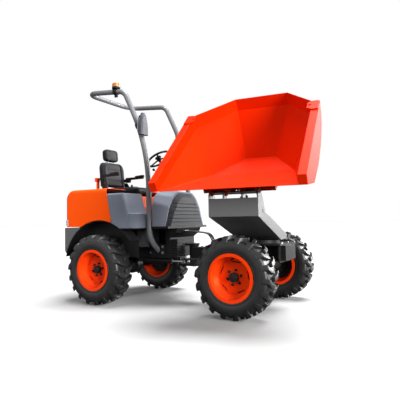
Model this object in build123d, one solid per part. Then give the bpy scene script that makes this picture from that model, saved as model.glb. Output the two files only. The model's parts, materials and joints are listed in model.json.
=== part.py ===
from build123d import *
import math
import os

os.makedirs("parts", exist_ok=True)

# Site dumper with a swivelling skip. Millimetres. While the pieces are made, X is forward,
# Y is left and Z is up, x = 0 is the middle of the wheelbase, and the axles lie at axle_z.

# ---- running gear ----
wheelbase = 1640
front_axle_x = wheelbase / 2
rear_axle_x = -wheelbase / 2
track = 1180
axle_z = 380
tyre_od = 760
tyre_width = 256
tyre_facets = 36
carcass_r = 346
shoulder_half_width = 108
sidewall_half_width = 126
sidewall_bulge_r = 275
bead_half_width = 104
rim_seat_r = 197
rim_flange_r = 220
rim_half_width = 121
rim_well_r = 165
rim_well_half_width = 40
rim_seat_end = 70
rim_sheet = 7
disc_centre = 20
disc_thickness = 8
disc_bore_r = 44
disc_slots = 5
disc_slot_phase = 9
disc_slot_ring_r = 139
disc_slot_length = 76
disc_slot_width = 11
lugs_per_side = 18
lug_inner_length = 38
lug_outer_length = 42
lug_lead = 22
lug_sweep = 34
lug_past_middle = 7
lug_end_drop = 4
lug_crown_fall = 3
lug_shoulder = 20
lug_root_depth = 12
lug_wrap_r = 324
lug_wrap_depth = 20
running_gap = 0.3

# ---- axles ----
axle_tube_r = 42
axle_bulge_r = 105
axle_bulge_half_length = 90
axle_taper = 70
hub_drum_r = 96
hub_drum_length = 60
spindle_nose_length = 26
axle_mount_half_width = 60
axle_mount_half_length = 30

# ---- articulation and frames ----
pivot_x = 40
pivot_pin_r = 20
pivot_pin_end = 8
rail_y = 215
rail_width = 50
rail_bottom = 490
rail_top = 600
rear_rail_end_x = rear_axle_x - 410
front_plate_x = pivot_x - 150
front_wall_top = 790
front_wall_half_width = 255
frame_plate = 14
yoke_top_z = 640
yoke_bottom_z = 390
yoke_plate = 24
yoke_gap = 1.0
yoke_reach = 62
tongue_half_width = 70
tongue_top_z = 600
tongue_bottom_z = 430
front_frame_half_width = 150
front_frame_rear_x = front_axle_x - 490
front_frame_front_x = front_axle_x + 330
front_frame_bottom = 495
front_frame_top = 641
front_nose_z = 570
front_cross_plate = 12
front_cross_half_width = 200
top_plate_half_width = 250
top_plate_rear_x = front_axle_x - 260
top_plate_front_x = front_axle_x + 310
top_plate = 16
valve_outer_y = 250
valve_inner_y = 90
valve_length = 90
valve_top = 695
valve_bottom = 508
valve_fins = 7
valve_slot = 9
valve_slot_depth = 14
nose_length = 92
nose_depth = 105

# ---- slew ring and pedestal ----
slew_x = front_axle_x + 22
slew_rest = -84
ring_r = 190
ring_bore_r = 120
ring_height = 32
ring_gap = 1.0
pedestal_plate = 12
pedestal_front_plate = 8
cheek_y = 222
cheek_plate = 10
pedestal_foot_x = -190
pedestal_foot_end_z = 741
pedestal_knee_x = 60
pedestal_front_x = 858
pedestal_fold_z = 925
hinge_x = 800
hinge_z = 1130
hinge_pin_r = 15
pedestal_front_top_z = 1080
inner_lug_y = 85
inner_lug_plate = 12
cheek_hole = 26

# ---- skip, as it lies when it is not tipped ----
tip_rest = 30
skip_sheet = 5
floor_z = 1053
floor_rear_x = -157
floor_rear_y = 157
floor_fold_x = 221
floor_fold_y = 410
lip_x = 1034
lip_z = 1285
side_y = 602
lip_end_height = 85
band_z = 1480
rim_z = 1607
corner_x = -60
back_y = 285
side_box_width = 64
box_rear_low = (440, 1180)
box_heel = (740, 1158)
box_rear_mid = (170, 1262)
box_rear_high = (-30, 1400)
lug_plate = 12
lug_length = 150
lug_corner = 30
lug_inner_y = 560
lug_outer_y = 661
lug_from_corner = 84
lifting_hole_r = 14
lifting_hole_y = 582
beam_rear_x = 600
beam_front_x = 700
beam_bottom_z = 1086
beam_half_length = 333
skip_lug_plate = 12
skip_lug_gap = 3

# ---- tip cylinder ----
tip_base_x = 300
tip_base_z = 838
tip_eye_x = 620
tip_eye_z = 1090
tip_barrel_r = 34
tip_rod_r = 19
tip_eye_r = 27
tip_eye_width = 36
tip_pin_r = 14
bracket_plate = 10
eye_side_gap = 5

# ---- steering cylinder ----
steer_arm = 200
steer_z = 455
steer_base_x = pivot_x - 600
steer_barrel_r = 27
steer_rod_r = 13
steer_eye_r = 22
steer_eye_width = 28
steer_pin_r = 12
fork_plate = 10

# ---- body ----
body_half_width = 600
arch_r = 532
sill_z = 825
sill_plate = 10
cowl_base_z = sill_z + 13
step_z = 985
pod_top_z = 1205
pod_waist_z = 900
pod_rear_top_x = rear_axle_x + 117
pod_rear_low_x = rear_axle_x + 180
pod_front_top_x = rear_axle_x + 333
pod_front_low_x = rear_axle_x + 404
step_front_x = rear_axle_x + 510
pod_inner_y = 270
pod_edge_r = 26
step_inner_y = 350
step_inset = 6
panel_gap = 9
hood_rear_x = rear_axle_x - 515
hood_top_z = 1266
hood_bottom_z = 842
hood_sheet = 5
hood_corner_r = 110
hood_edge_r = 40
hood_hinge_x = hood_rear_x - 9
hood_hinge_z = 847
hood_hinge_r = 8
hood_hinge_y = 351
hood_hinge_pin_r = 4
knuckle_length = 30
knuckle_gap = 1
latch_y = 170
latch_height = 174
latch_knob = 45
latch_post = 14
latch_foot = 24
seat_notch_y = 265
seat_notch_x = rear_axle_x - 365
counter_rear_x = rear_axle_x - 548
counter_top_z = 834
counter_bottom_z = 520
counter_chamfer_z = 600
counter_edge_r = 40
fender_inner_y = track / 2 - tyre_width / 2 - 30
fender_sheet = 6
fender_gap = 2
fender_low_z = 505
fender_front_x = rear_axle_x + 420
lamp_width = 80
lamp_depth = 45
lamp_low_z = 858
lamp_high_z = 922
lamp_proud = 3
lamp_gap = 2

cowl_front_x = rear_axle_x + 748
cowl_rear_x = rear_axle_x + 584
cowl_sheet = 6
cowl_edge_r = 110
cowl_half_width = 408
grille_inset = 14
grille_depth = 34
grille_taper = 46
grille_slots = 6
grille_pitch = 40
grille_slot = 5
console_half_width = 105
console_top_z = 1500
platform_rear_x = rear_axle_x + 180
seat_box_front_x = rear_axle_x + 220
seat_box_rear_x = rear_axle_x - 250
seat_box_half_width = 225
seat_box_top_z = 1190
seat_box_sheet = 5
seat_rail_height = 25
seat_half_width = 215
cushion_top_z = 1318
cushion_corner_r = 45
seat_back_top_z = 1640
headrest_height = 165
headrest_half_width = 130
seat_top_r = 30
seat_bracket = 10
armrest_z = 1400
armrest_width = 31
steering_x = rear_axle_x + 395
steering_z = 1628
steering_tilt = 32
steering_r = 145
steering_grip_r = 13

# ---- roll hoop ----
hoop_tube_r = 29
hoop_y = 408
hoop_leg_x = rear_axle_x + 545
hoop_foot_y = 222
hoop_foot_z = 556
hoop_ankle_z = 707
hoop_ankle_r = 250
hoop_lean_z = 1700
hoop_lean_r = 2000
hoop_top_front = (rear_axle_x + 217, 2366)
hoop_top_rear = (rear_axle_x - 365, 2430)
hoop_corner_r = 130
hoop_rear_corner_r = 170
hoop_plate = 16
hoop_pad_low = 520
hoop_pad_high = 640
clamp_wall = 7
beacon_x = rear_axle_x + 100
beacon_r = 44
mirror_x = rear_axle_x + 535
mirror_y = 483
mirror_z = 1940
mirror_arm_z = 1950
mirror_arm_r = 8

nodes = {}


def block(x0, x1, y0, y1, z0, z1):
    return Pos((x0 + x1) / 2, (y0 + y1) / 2, (z0 + z1) / 2) * Box(x1 - x0, y1 - y0, z1 - z0)


def rod_y(r, y0, y1, x=0, z=0):
    return Pos(x, (y0 + y1) / 2, z) * Rot(90, 0, 0) * Cylinder(r, y1 - y0)


def rod_z(r, z0, z1, x=0, y=0):
    return Pos(x, y, (z0 + z1) / 2) * Cylinder(r, z1 - z0)


def prism_y(points, y0, y1):
    # points are (x, z); the outline is extruded from y0 to y1
    face = Plane.XZ * make_face(Polyline(*[(x, z) for x, z in points], close=True))
    return extrude(Pos(0, y1, 0) * face, amount=y1 - y0)


def panel(corners, thickness, inside):
    # a flat plate whose outer face has these corners, thickened towards the inside point
    face = Face(Wire.make_polygon([Vector(*c) for c in corners], close=True))
    normal = face.normal_at()
    if normal.dot(Vector(*inside) - face.center()) < 0:
        normal = -normal
    return extrude(face, amount=thickness, dir=normal)


def group(pieces):
    # pieces that don't touch, kept as one node
    return Compound([solid for piece in pieces for solid in piece.solids()])


def both(piece):
    # the piece and its mirror image across the centre plane
    return group([piece, mirror(piece, about=Plane.XZ)])


def join(pieces):
    total = pieces[0]
    for piece in pieces[1:]:
        total = total + piece
    return total


def add(name, piece):
    nodes[name] = piece


# ---- tyre: a faceted carcass with two rows of chevron lugs fused to it, each in step with its facets ----
def facet_ring(r, y):
    # a polygon about the wheel's axis whose flats are r away from it
    step = 2 * math.pi / tyre_facets
    corner_r = r / math.cos(step / 2)
    angles = [(i + 0.5) * step for i in range(tyre_facets)]
    return make_face(Polyline(*[(corner_r * math.sin(a), y, corner_r * math.cos(a)) for a in angles],
                              close=True))


def tyre(forward):
    # the wheel's axis is Y and +Y is its outer side; forward is +1 or -1, the way its
    # chevrons point along X at the top
    half = tyre_width / 2
    sections = [  # (distance from the middle plane, radius)
        (bead_half_width, rim_seat_r),
        (sidewall_half_width, sidewall_bulge_r),
        (shoulder_half_width, carcass_r),
    ]
    rings = [facet_ring(r, -w) for w, r in sections] + [facet_ring(r, w) for w, r in reversed(sections)]
    bore = [facet_ring(rim_seat_r, y) for y in (-bead_half_width, bead_half_width)]
    body = loft(rings, ruled=True) - loft(bore, ruled=True)
    crown = tyre_od / 2 - lug_end_drop
    plan = [  # (along the tread, across the tread)
        (lug_lead, -lug_past_middle),
        (-lug_sweep, half + lug_past_middle),
        (-lug_sweep - lug_outer_length, half + lug_past_middle),
        (lug_lead - lug_inner_length, -lug_past_middle),
    ]
    side = [  # (across the tread, radius)
        (-lug_past_middle, carcass_r - lug_root_depth),
        (-lug_past_middle, crown),
        (half - lug_shoulder, crown - lug_crown_fall),
        (half, lug_wrap_r),
        (half - lug_wrap_depth, lug_wrap_r),
    ]
    column_face = make_face(Polyline(*[(forward * a, w, lug_wrap_r - 30) for a, w in plan], close=True))
    wedge_face = make_face(Polyline(*[(-tyre_width / 2, w, r) for w, r in side], close=True))
    lug = extrude(column_face, amount=tyre_width / 2, dir=(0, 0, 1))
    lug &= extrude(wedge_face, amount=tyre_width, dir=(1, 0, 0))
    other = mirror(lug, about=Plane.XZ)
    pitch = 360 / lugs_per_side
    lugs = [Rot(0, pitch * i, 0) * lug for i in range(lugs_per_side)]
    lugs += [Rot(0, pitch * (i + 0.5), 0) * other for i in range(lugs_per_side)]
    return body.fuse(*lugs)


def rim():
    seat = rim_seat_r - 0.2
    outer = [
        (rim_half_width, rim_flange_r),
        (rim_half_width - rim_sheet, rim_flange_r),
        (rim_half_width - rim_sheet, seat),
        (rim_seat_end, seat),
        (rim_well_half_width, rim_well_r),
    ]
    inner = [
        (rim_well_half_width - 3, rim_well_r - rim_sheet),
        (rim_seat_end + 2, seat - rim_sheet),
        (rim_half_width, seat - rim_sheet),
    ]
    far_outer = [(-w, r) for w, r in reversed(outer)]
    far_inner = [(-w, r) for w, r in reversed(inner)]
    outline = outer + far_outer + far_inner + inner
    face = make_face(Polyline(*[(w, 0, r) for w, r in outline], close=True))
    barrel = Rot(0, 0, 90) * revolve(face, axis=Axis.X)
    disc = rod_y(rim_well_r - rim_sheet + 2, disc_centre - disc_thickness / 2,
                 disc_centre + disc_thickness / 2)
    disc -= rod_y(disc_bore_r, disc_centre - disc_thickness, disc_centre + disc_thickness)
    slot = Pos(0, disc_centre, disc_slot_ring_r) * Box(disc_slot_length, disc_thickness * 3, disc_slot_width)
    for i in range(disc_slots):
        disc -= Rot(0, i * 360 / disc_slots + disc_slot_phase, 0) * slot
    return barrel + disc


left_tyre = tyre(1)
left_rim = rim()
right_tyre = mirror(left_tyre, about=Plane.XZ)
right_rim = mirror(left_rim, about=Plane.XZ)
for corner, x in (("front", front_axle_x), ("rear", rear_axle_x)):
    add(f"{corner}_left_tyre", Pos(x, track / 2, axle_z) * left_tyre)
    add(f"{corner}_left_rim", Pos(x, track / 2, axle_z) * left_rim)
    add(f"{corner}_right_tyre", Pos(x, -track / 2, axle_z) * right_tyre)
    add(f"{corner}_right_rim", Pos(x, -track / 2, axle_z) * right_rim)


# ---- axles: tube, differential bulge, brake drums and spindle noses in the wheel discs ----
def axle(x):
    disc_inner = track / 2 + disc_centre - disc_thickness / 2 - running_gap
    nose_end = track / 2 + disc_centre + disc_thickness / 2 + spindle_nose_length
    outline = [  # (distance from the middle plane, radius)
        (0, axle_bulge_r),
        (axle_bulge_half_length / 2, axle_bulge_r),
        (axle_bulge_half_length, axle_bulge_r * 0.7),
        (axle_bulge_half_length + axle_taper, axle_tube_r),
        (disc_inner - hub_drum_length, axle_tube_r),
        (disc_inner - hub_drum_length, hub_drum_r),
        (disc_inner, hub_drum_r),
        (disc_inner, disc_bore_r - running_gap),
        (nose_end, disc_bore_r - running_gap),
    ]
    half = outline + [(nose_end, 0)]
    face = make_face(Polyline(*[(r, y, 0) for y, r in half + [(0, 0)]], close=True))
    turned = revolve(face, axis=Axis.Y)
    pad = block(-axle_mount_half_width, axle_mount_half_width, rail_y - axle_mount_half_length,
                rail_y + axle_mount_half_length, 0, rail_bottom - axle_z)
    side = turned + pad
    return Pos(x, 0, axle_z) * (side + mirror(side, about=Plane.XZ))


add("front_axle", axle(front_axle_x))
add("rear_axle", axle(rear_axle_x))


# ---- rear frame: two rails, cross plates, body posts and the fork of the articulation ----
def yoke_leaf(z0, z1):
    bar = block(front_plate_x - frame_plate / 2, pivot_x, -yoke_reach, yoke_reach, z0, z1)
    return bar + rod_z(yoke_reach, z0, z1, pivot_x)


def post(x0, x1, top):
    return block(x0, x1, rail_y - 65, rail_y + 24, rail_top - 2, top)


wall_back = front_plate_x - frame_plate
rail = block(rear_rail_end_x, front_plate_x, rail_y - rail_width / 2, rail_y + rail_width / 2, rail_bottom,
             rail_top)
front_wall = block(wall_back, front_plate_x, -front_wall_half_width, front_wall_half_width, rail_bottom,
                   front_wall_top)
front_wall += block(wall_back, front_plate_x, -yoke_reach, yoke_reach, yoke_bottom_z, rail_bottom + 1)
rear_wall = block(rear_rail_end_x, rear_rail_end_x + frame_plate, -rail_y, rail_y, rail_bottom, rail_top)
belly = block(front_plate_x - 450, front_plate_x - 5, -rail_y, rail_y, rail_bottom, rail_bottom + frame_plate)
yoke = yoke_leaf(yoke_top_z - yoke_plate, yoke_top_z) + yoke_leaf(yoke_bottom_z, yoke_bottom_z + yoke_plate)
floor_bottom = sill_z - sill_plate
posts = post(hoop_leg_x - 125, hoop_leg_x - 55, floor_bottom)
posts += post(wall_back - 56, wall_back + 2, floor_bottom)
posts += post(rear_axle_x - 380, rear_axle_x - 320, rail_top + 100)
hoop_pad_y = rail_y + rail_width / 2 + hoop_plate
hoop_pad = block(hoop_leg_x - 110, hoop_leg_x + 90, hoop_pad_y - hoop_plate, hoop_pad_y, hoop_pad_low,
                 hoop_pad_high)
half_frame = rail + posts + hoop_pad
nose = prism_y([
    (wall_back, floor_bottom), (front_plate_x + nose_length, floor_bottom),
    (front_plate_x + nose_length - 20, floor_bottom - nose_depth / 2),
    (front_plate_x, floor_bottom - nose_depth),
    (wall_back, floor_bottom - nose_depth),
], -front_wall_half_width, front_wall_half_width)
ear = block(steer_base_x - 24, steer_base_x + 24, -steer_arm - 24, -steer_arm + 24,
            steer_z + steer_eye_width / 2 + 1, rail_bottom + 5)
rear_frame = half_frame + mirror(half_frame, about=Plane.XZ)
for plate in (front_wall, nose, rear_wall, belly, yoke, ear):
    rear_frame += plate
rear_frame -= rod_z(pivot_pin_r, yoke_bottom_z - 20, yoke_top_z + 20, pivot_x)
add("rear_frame", rear_frame)
add("pivot_pin", rod_z(pivot_pin_r, yoke_bottom_z - pivot_pin_end, yoke_top_z + pivot_pin_end, pivot_x))
add("engine_block", block(rear_axle_x - 230, rear_axle_x + 180, -150, 150, rail_bottom + 40, 1010))

# ---- hydraulic valve block, finned, on the right of the frame's front wall ----
valve_front = front_plate_x + valve_length
valve = block(front_plate_x, valve_front, -valve_outer_y, -valve_inner_y, valve_bottom, valve_top)
valve_core = block(front_plate_x - 1, valve_front - valve_slot_depth, valve_slot_depth - valve_outer_y,
                   -valve_inner_y - valve_slot_depth, valve_bottom, valve_top)
fin_pitch = (valve_top - valve_bottom) / valve_fins
for i in range(1, valve_fins):
    z = valve_bottom + i * fin_pitch - valve_slot / 2
    slot = block(front_plate_x - 1, valve_front + 1, -valve_outer_y - 1, 1 - valve_inner_y, z, z + valve_slot)
    valve -= slot - valve_core
add("valve_block", valve)

# ---- front frame: tongue, box, top plate for the slew ring, and the steering fork ----
tongue = block(pivot_x, front_frame_rear_x + 20, -tongue_half_width, tongue_half_width, tongue_bottom_z,
               tongue_top_z)
post_low = yoke_bottom_z + yoke_plate + yoke_gap
post_high = yoke_top_z - yoke_plate - yoke_gap
tongue += rod_z(yoke_reach - 10, post_low, post_high, pivot_x)
tongue -= rod_z(pivot_pin_r + running_gap, post_low - 10, post_high + 10, pivot_x)
box_outline = [
    (front_frame_rear_x, front_frame_bottom),
    (front_frame_front_x, front_frame_bottom),
    (front_frame_front_x, front_frame_top),
    (front_frame_rear_x + 60, front_frame_top),
    (front_frame_rear_x, front_nose_z),
]
box_body = prism_y(box_outline, -front_frame_half_width, front_frame_half_width)
top = block(top_plate_rear_x, top_plate_front_x, -top_plate_half_width, top_plate_half_width,
            front_frame_top, front_frame_top + top_plate)
cross_x = top_plate_front_x - 30
cross = block(cross_x - front_cross_plate, cross_x, -front_cross_half_width, front_cross_half_width,
              front_frame_bottom - 20, front_frame_top)
cross_corners = cross.edges().filter_by(Axis.X).sort_by(Axis.Z)[:2]
cross = fillet(cross_corners, 40)
shoulder = block(front_axle_x - 70, front_axle_x + 70, -rail_y - 28, rail_y + 28, rail_bottom,
                 front_frame_top)
arm_rear = pivot_x - 34
arm_front = pivot_x + 130
arm_low = steer_z - steer_eye_width / 2 - eye_side_gap
arm_high = steer_z + steer_eye_width / 2 + eye_side_gap
arm_y = (-steer_arm - 32, 10 - tongue_half_width)
arm = block(arm_rear, arm_front, *arm_y, arm_high, arm_high + fork_plate)
arm += block(arm_rear, arm_front, *arm_y, arm_low - fork_plate, arm_low)
arm += block(arm_front - 40, arm_front, *arm_y, arm_low - fork_plate, arm_high + fork_plate)
for z0, z1 in ((arm_high + fork_plate - 1, arm_high + fork_plate + 10),
               (arm_low - fork_plate - 10, arm_low - fork_plate + 1)):
    arm += rod_z(14, z0, z1, pivot_x, -steer_arm)
add("front_frame", tongue + box_body + top + cross + shoulder + arm)
ring_z = front_frame_top + top_plate
add("slew_ring", rod_z(ring_r, ring_z, ring_z + ring_height, slew_x) - rod_z(ring_bore_r, 0, 900, slew_x))

# ---- pedestal, in the skip's own frame: X ahead of the slew axis ----
foot_z = ring_z + ring_height + ring_gap
slope_rise = (pedestal_fold_z - foot_z) / (pedestal_front_x - pedestal_knee_x)
cheek_outline = [
    (pedestal_front_x, pedestal_fold_z),
    (pedestal_front_x, hinge_z - 20),
    (hinge_x + 34, hinge_z + 22),
    (hinge_x + 14, hinge_z + 38),
    (hinge_x - 14, hinge_z + 38),
    (hinge_x - 38, hinge_z + 12),
    (hinge_x - 62, hinge_z - 20),
    (687, 1046),
    (643, 960),
    (246, 859),
    (pedestal_foot_x, pedestal_foot_end_z),
    (pedestal_foot_x, foot_z),
    (pedestal_knee_x, foot_z),
]


def slope_at(x):
    # the upper face of the pedestal's slanted plate
    return foot_z + pedestal_plate + (x - pedestal_knee_x) * slope_rise


cheek = prism_y(cheek_outline, cheek_y - cheek_plate, cheek_y)
cheek -= rod_y(hinge_pin_r, 0, 400, hinge_x, hinge_z)
cheek -= block(706, 706 + cheek_hole, 0, 400, 958, 958 + cheek_hole)
slope = prism_y([
    (pedestal_knee_x, foot_z),
    (pedestal_front_x, pedestal_fold_z),
    (pedestal_front_x, slope_at(pedestal_front_x)),
    (pedestal_knee_x, slope_at(pedestal_knee_x)),
], -cheek_y, cheek_y)
front_plate = block(pedestal_front_x - pedestal_front_plate, pedestal_front_x, -cheek_y, cheek_y,
                    pedestal_fold_z, pedestal_front_top_z)
base_plate = block(pedestal_foot_x, pedestal_knee_x + 10, -cheek_y, cheek_y, foot_z, foot_z + pedestal_plate)
base_plate += rod_z(ring_r, foot_z, foot_z + pedestal_plate)
base_plate -= prism_y([
    (pedestal_knee_x, foot_z - 1), (pedestal_knee_x + 300, foot_z - 1),
    (pedestal_knee_x + 300, foot_z + 300 * slope_rise),
    (pedestal_knee_x, foot_z),
], -cheek_y, cheek_y)
lug_outline = [
    (pedestal_front_x - 2, pedestal_front_top_z - 60), (pedestal_front_x - 2, hinge_z - 10),
    (hinge_x + 20, hinge_z + 26), (hinge_x - 20, hinge_z + 26), (hinge_x - 30, hinge_z - 20),
    (pedestal_front_x - 30, pedestal_front_top_z - 60),
]
inner_lug = prism_y(lug_outline, inner_lug_y - inner_lug_plate / 2, inner_lug_y + inner_lug_plate / 2)
inner_lug -= rod_y(hinge_pin_r, 0, 400, hinge_x, hinge_z)
base_lug_outline = [
    (tip_base_x - 60, slope_at(tip_base_x - 60) - 2), (tip_base_x + 60, slope_at(tip_base_x + 60) - 2),
    (tip_base_x + 26, tip_base_z + 20), (tip_base_x, tip_base_z + 30), (tip_base_x - 26, tip_base_z + 20),
]
base_gap = tip_eye_width / 2 + 1
base_lug = prism_y(base_lug_outline, base_gap, base_gap + bracket_plate)
base_pin = rod_y(tip_pin_r, -base_gap - bracket_plate - 6, base_gap + bracket_plate + 6, tip_base_x,
                 tip_base_z)
side = cheek + inner_lug + base_lug
pedestal = side + mirror(side, about=Plane.XZ) + slope + front_plate + base_plate + base_pin
hinge_pin = rod_y(hinge_pin_r, -cheek_y - 6, cheek_y + 6, hinge_x, hinge_z)

# ---- skip shell: flat plates folded from these corners, as it lies untipped ----
fold_run = (floor_fold_x - floor_rear_x) / (floor_fold_y - floor_rear_y)
back_x = corner_x - (side_y - back_y) * fold_run
floor_rise = (lip_z - floor_z) / (lip_x - floor_fold_x)


def floor_at(x):
    return floor_z + max(0, x - floor_fold_x) * floor_rise


floor_back = (floor_rear_x, floor_rear_y, floor_z)
floor_fold = (floor_fold_x, floor_fold_y, floor_z)
lip_low = (lip_x, side_y, lip_z)
lip_high = (lip_x, side_y, lip_z + lip_end_height)
band_back = (back_x, back_y, band_z)
band_corner = (corner_x, side_y, band_z)
rim_back = (back_x, back_y, rim_z)
rim_corner = (corner_x, side_y, rim_z)


def across(point):
    return (point[0], -point[1], point[2])


inside = (200, 0, 1400)
middle_panels = [
    [floor_back, floor_fold, across(floor_fold), across(floor_back)],
    [floor_fold, lip_low, across(lip_low), across(floor_fold)],
    [floor_back, band_back, across(band_back), across(floor_back)],
    [band_back, rim_back, across(rim_back), across(band_back)],
]
wing_panels = [
    [floor_back, floor_fold, band_corner, band_back],
    [band_back, band_corner, rim_corner, rim_back],
    [floor_fold, lip_low, band_corner],
    [lip_low, lip_high, rim_corner, band_corner],
]
plates = [panel(c, skip_sheet, inside) for c in middle_panels + wing_panels]
plates += [panel([across(p) for p in c], skip_sheet, inside) for c in wing_panels]
skip_shell = plates[0].fuse(*plates[1:])

# ---- hollow boxes along the skip's wings, each with a lifting lug on its top corner ----
box_outline = [
    (lip_x, lip_z),
    box_heel,
    box_rear_low,
    box_rear_mid,
    box_rear_high,
    (corner_x, rim_z - 110),
    (corner_x, rim_z),
    (lip_x, lip_z + lip_end_height),
]
box_hollow = [
    (lip_x - skip_sheet, lip_z + 4), box_heel, box_rear_low, box_rear_mid, box_rear_high,
    (corner_x, rim_z - 115),
    (corner_x - 5, rim_z - skip_sheet), (lip_x - skip_sheet, lip_z + lip_end_height - skip_sheet),
]
side_box = prism_y(box_outline, side_y, side_y + side_box_width)
side_box -= prism_y(box_hollow, side_y - 5, side_y + side_box_width - skip_sheet)
rim_slope = math.atan2(rim_z - lip_z - lip_end_height, lip_x - corner_x)
lug_x = corner_x + lug_from_corner
lug_z = rim_z - lug_from_corner * math.tan(rim_slope)
half_lug = lug_length / 2
lug_plan = make_face(Polyline(
    (-half_lug + lug_corner, lug_inner_y), (half_lug - lug_corner, lug_inner_y), (half_lug, side_y),
    (half_lug, lug_outer_y), (-half_lug, lug_outer_y), (-half_lug, side_y), close=True))
lug = extrude(lug_plan, amount=lug_plate) - Pos(0, lifting_hole_y, 0) * Cylinder(lifting_hole_r, 40)
side_box = side_box + Pos(lug_x, 0, lug_z) * Rot(0, math.degrees(rim_slope), 0) * lug

# ---- under the skip: cross beam, hinge lugs and the tip cylinder's bracket ----
beam_outline = [
    (beam_rear_x, beam_bottom_z),
    (beam_front_x, beam_bottom_z),
    (beam_front_x, floor_at(beam_front_x)),
    (beam_rear_x, floor_at(beam_rear_x)),
]
eye_gap = tip_eye_width / 2 + eye_side_gap
beam = prism_y(beam_outline, eye_gap + bracket_plate, beam_half_length)
skip_lug_outline = [
    (hinge_x - 22, hinge_z - 20), (hinge_x + 22, hinge_z - 20), (hinge_x + 60, floor_at(hinge_x + 60)),
    (beam_front_x - 2, floor_at(beam_front_x - 2)), (beam_front_x - 2, hinge_z - 2),
]
under_pieces = [beam]
for face_y in (cheek_y - cheek_plate, inner_lug_y - inner_lug_plate / 2):
    plate_y = face_y - skip_lug_gap
    hinge_lug = prism_y(skip_lug_outline, plate_y - skip_lug_plate, plate_y)
    under_pieces.append(hinge_lug - rod_y(hinge_pin_r + running_gap, 0, 400, hinge_x, hinge_z))
bracket_outline = [
    (tip_eye_x - 26, tip_eye_z - 24), (tip_eye_x + 26, tip_eye_z - 24),
    (tip_eye_x + 55, floor_at(tip_eye_x + 55)),
    (tip_eye_x - 55, floor_at(tip_eye_x - 55)),
]
bracket = prism_y(bracket_outline, eye_gap, eye_gap + bracket_plate)
bracket += rod_y(tip_pin_r, eye_gap + 1, eye_gap + bracket_plate + 8, tip_eye_x, tip_eye_z)
under_pieces.append(bracket)
underframe = join(under_pieces)


# ---- cylinders: barrel and rod along X from the base pin ----
def rod_x(r, x0, x1):
    return Pos((x0 + x1) / 2, 0, 0) * Rot(0, 90, 0) * Cylinder(r, x1 - x0)


def cylinder_pair(length, barrel_end, barrel_r, rod_r, eye_r, eye_width, pin_r):
    eye = rod_y(eye_r, -eye_width / 2, eye_width / 2)
    barrel = rod_x(barrel_r, eye_r + 22, barrel_end) + rod_x(eye_width / 2, 10, eye_r + 24) + eye
    barrel += rod_x(barrel_r + 3, barrel_end - 26, barrel_end)
    barrel -= rod_x(rod_r + running_gap, eye_r + 40, barrel_end + 10)
    barrel -= rod_y(pin_r + running_gap, -100, 100)
    rod = rod_x(rod_r, barrel_end - 60, length - eye_r + 4) + Pos(length, 0, 0) * eye
    return barrel, rod


angle = math.radians(tip_rest)
dx = tip_eye_x - hinge_x
dz = tip_eye_z - hinge_z
eye_x = hinge_x + dx * math.cos(angle) + dz * math.sin(angle)
eye_z = hinge_z - dx * math.sin(angle) + dz * math.cos(angle)
reach = math.hypot(eye_x - tip_base_x, eye_z - tip_base_z)
lean = math.degrees(math.atan2(eye_z - tip_base_z, eye_x - tip_base_x))
closed_reach = math.hypot(tip_eye_x - tip_base_x, tip_eye_z - tip_base_z)
barrel, rod = cylinder_pair(reach, closed_reach - tip_eye_r - 20, tip_barrel_r, tip_rod_r, tip_eye_r,
                            tip_eye_width, tip_pin_r)
at_base = Pos(tip_base_x, 0, tip_base_z) * Rot(0, -lean, 0)

on_slew = Pos(slew_x, 0, 0) * Rot(0, 0, slew_rest)
on_skip = on_slew * Pos(hinge_x, 0, hinge_z) * Rot(0, tip_rest, 0) * Pos(-hinge_x, 0, -hinge_z)


def skip_pair(piece):
    return group([on_skip * piece, on_skip * mirror(piece, about=Plane.XZ)])


add("pedestal", on_slew * pedestal)
add("hinge_pin", on_slew * hinge_pin)
add("tip_barrel", on_slew * at_base * barrel)
add("tip_rod", on_slew * at_base * rod)
add("skip_shell", on_skip * skip_shell)
add("skip_side_boxes", skip_pair(side_box))
add("skip_underframe", skip_pair(underframe))

# ---- steering cylinder on the right, its rod towards the fork on the front frame ----
steer_reach = pivot_x - steer_base_x
barrel, rod = cylinder_pair(steer_reach, steer_reach - 170, steer_barrel_r, steer_rod_r, steer_eye_r,
                            steer_eye_width, steer_pin_r)
at_ear = Pos(steer_base_x, -steer_arm, steer_z) * Rot(90, 0, 0)
add("steer_barrel", at_ear * barrel)
add("steer_rod", at_ear * rod)

# ---- counterweight with the tow pocket and the hood's lower knuckles ----
arch_cut = both(rod_y(arch_r, fender_inner_y - 20, body_half_width + 10, rear_axle_x, axle_z))
counter_outline = [
    (counter_rear_x, counter_top_z), (rear_axle_x - 250, counter_top_z), (rear_rail_end_x - 10, 700),
    (rear_rail_end_x - 10, counter_bottom_z), (counter_rear_x + 60, counter_bottom_z),
    (counter_rear_x, counter_chamfer_z),
]
counter = prism_y(counter_outline, -body_half_width, body_half_width)
rear_posts = counter.edges().filter_by(Axis.Z).group_by(Axis.X)[0]
counter = fillet(rear_posts, counter_edge_r) - arch_cut
counter -= block(counter_rear_x - 10, counter_rear_x + 80, -70, 70, counter_bottom_z - 5, 770)


def knuckle(y0, y1):
    return rod_y(hood_hinge_r, y0, y1, hood_hinge_x, hood_hinge_z)


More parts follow.
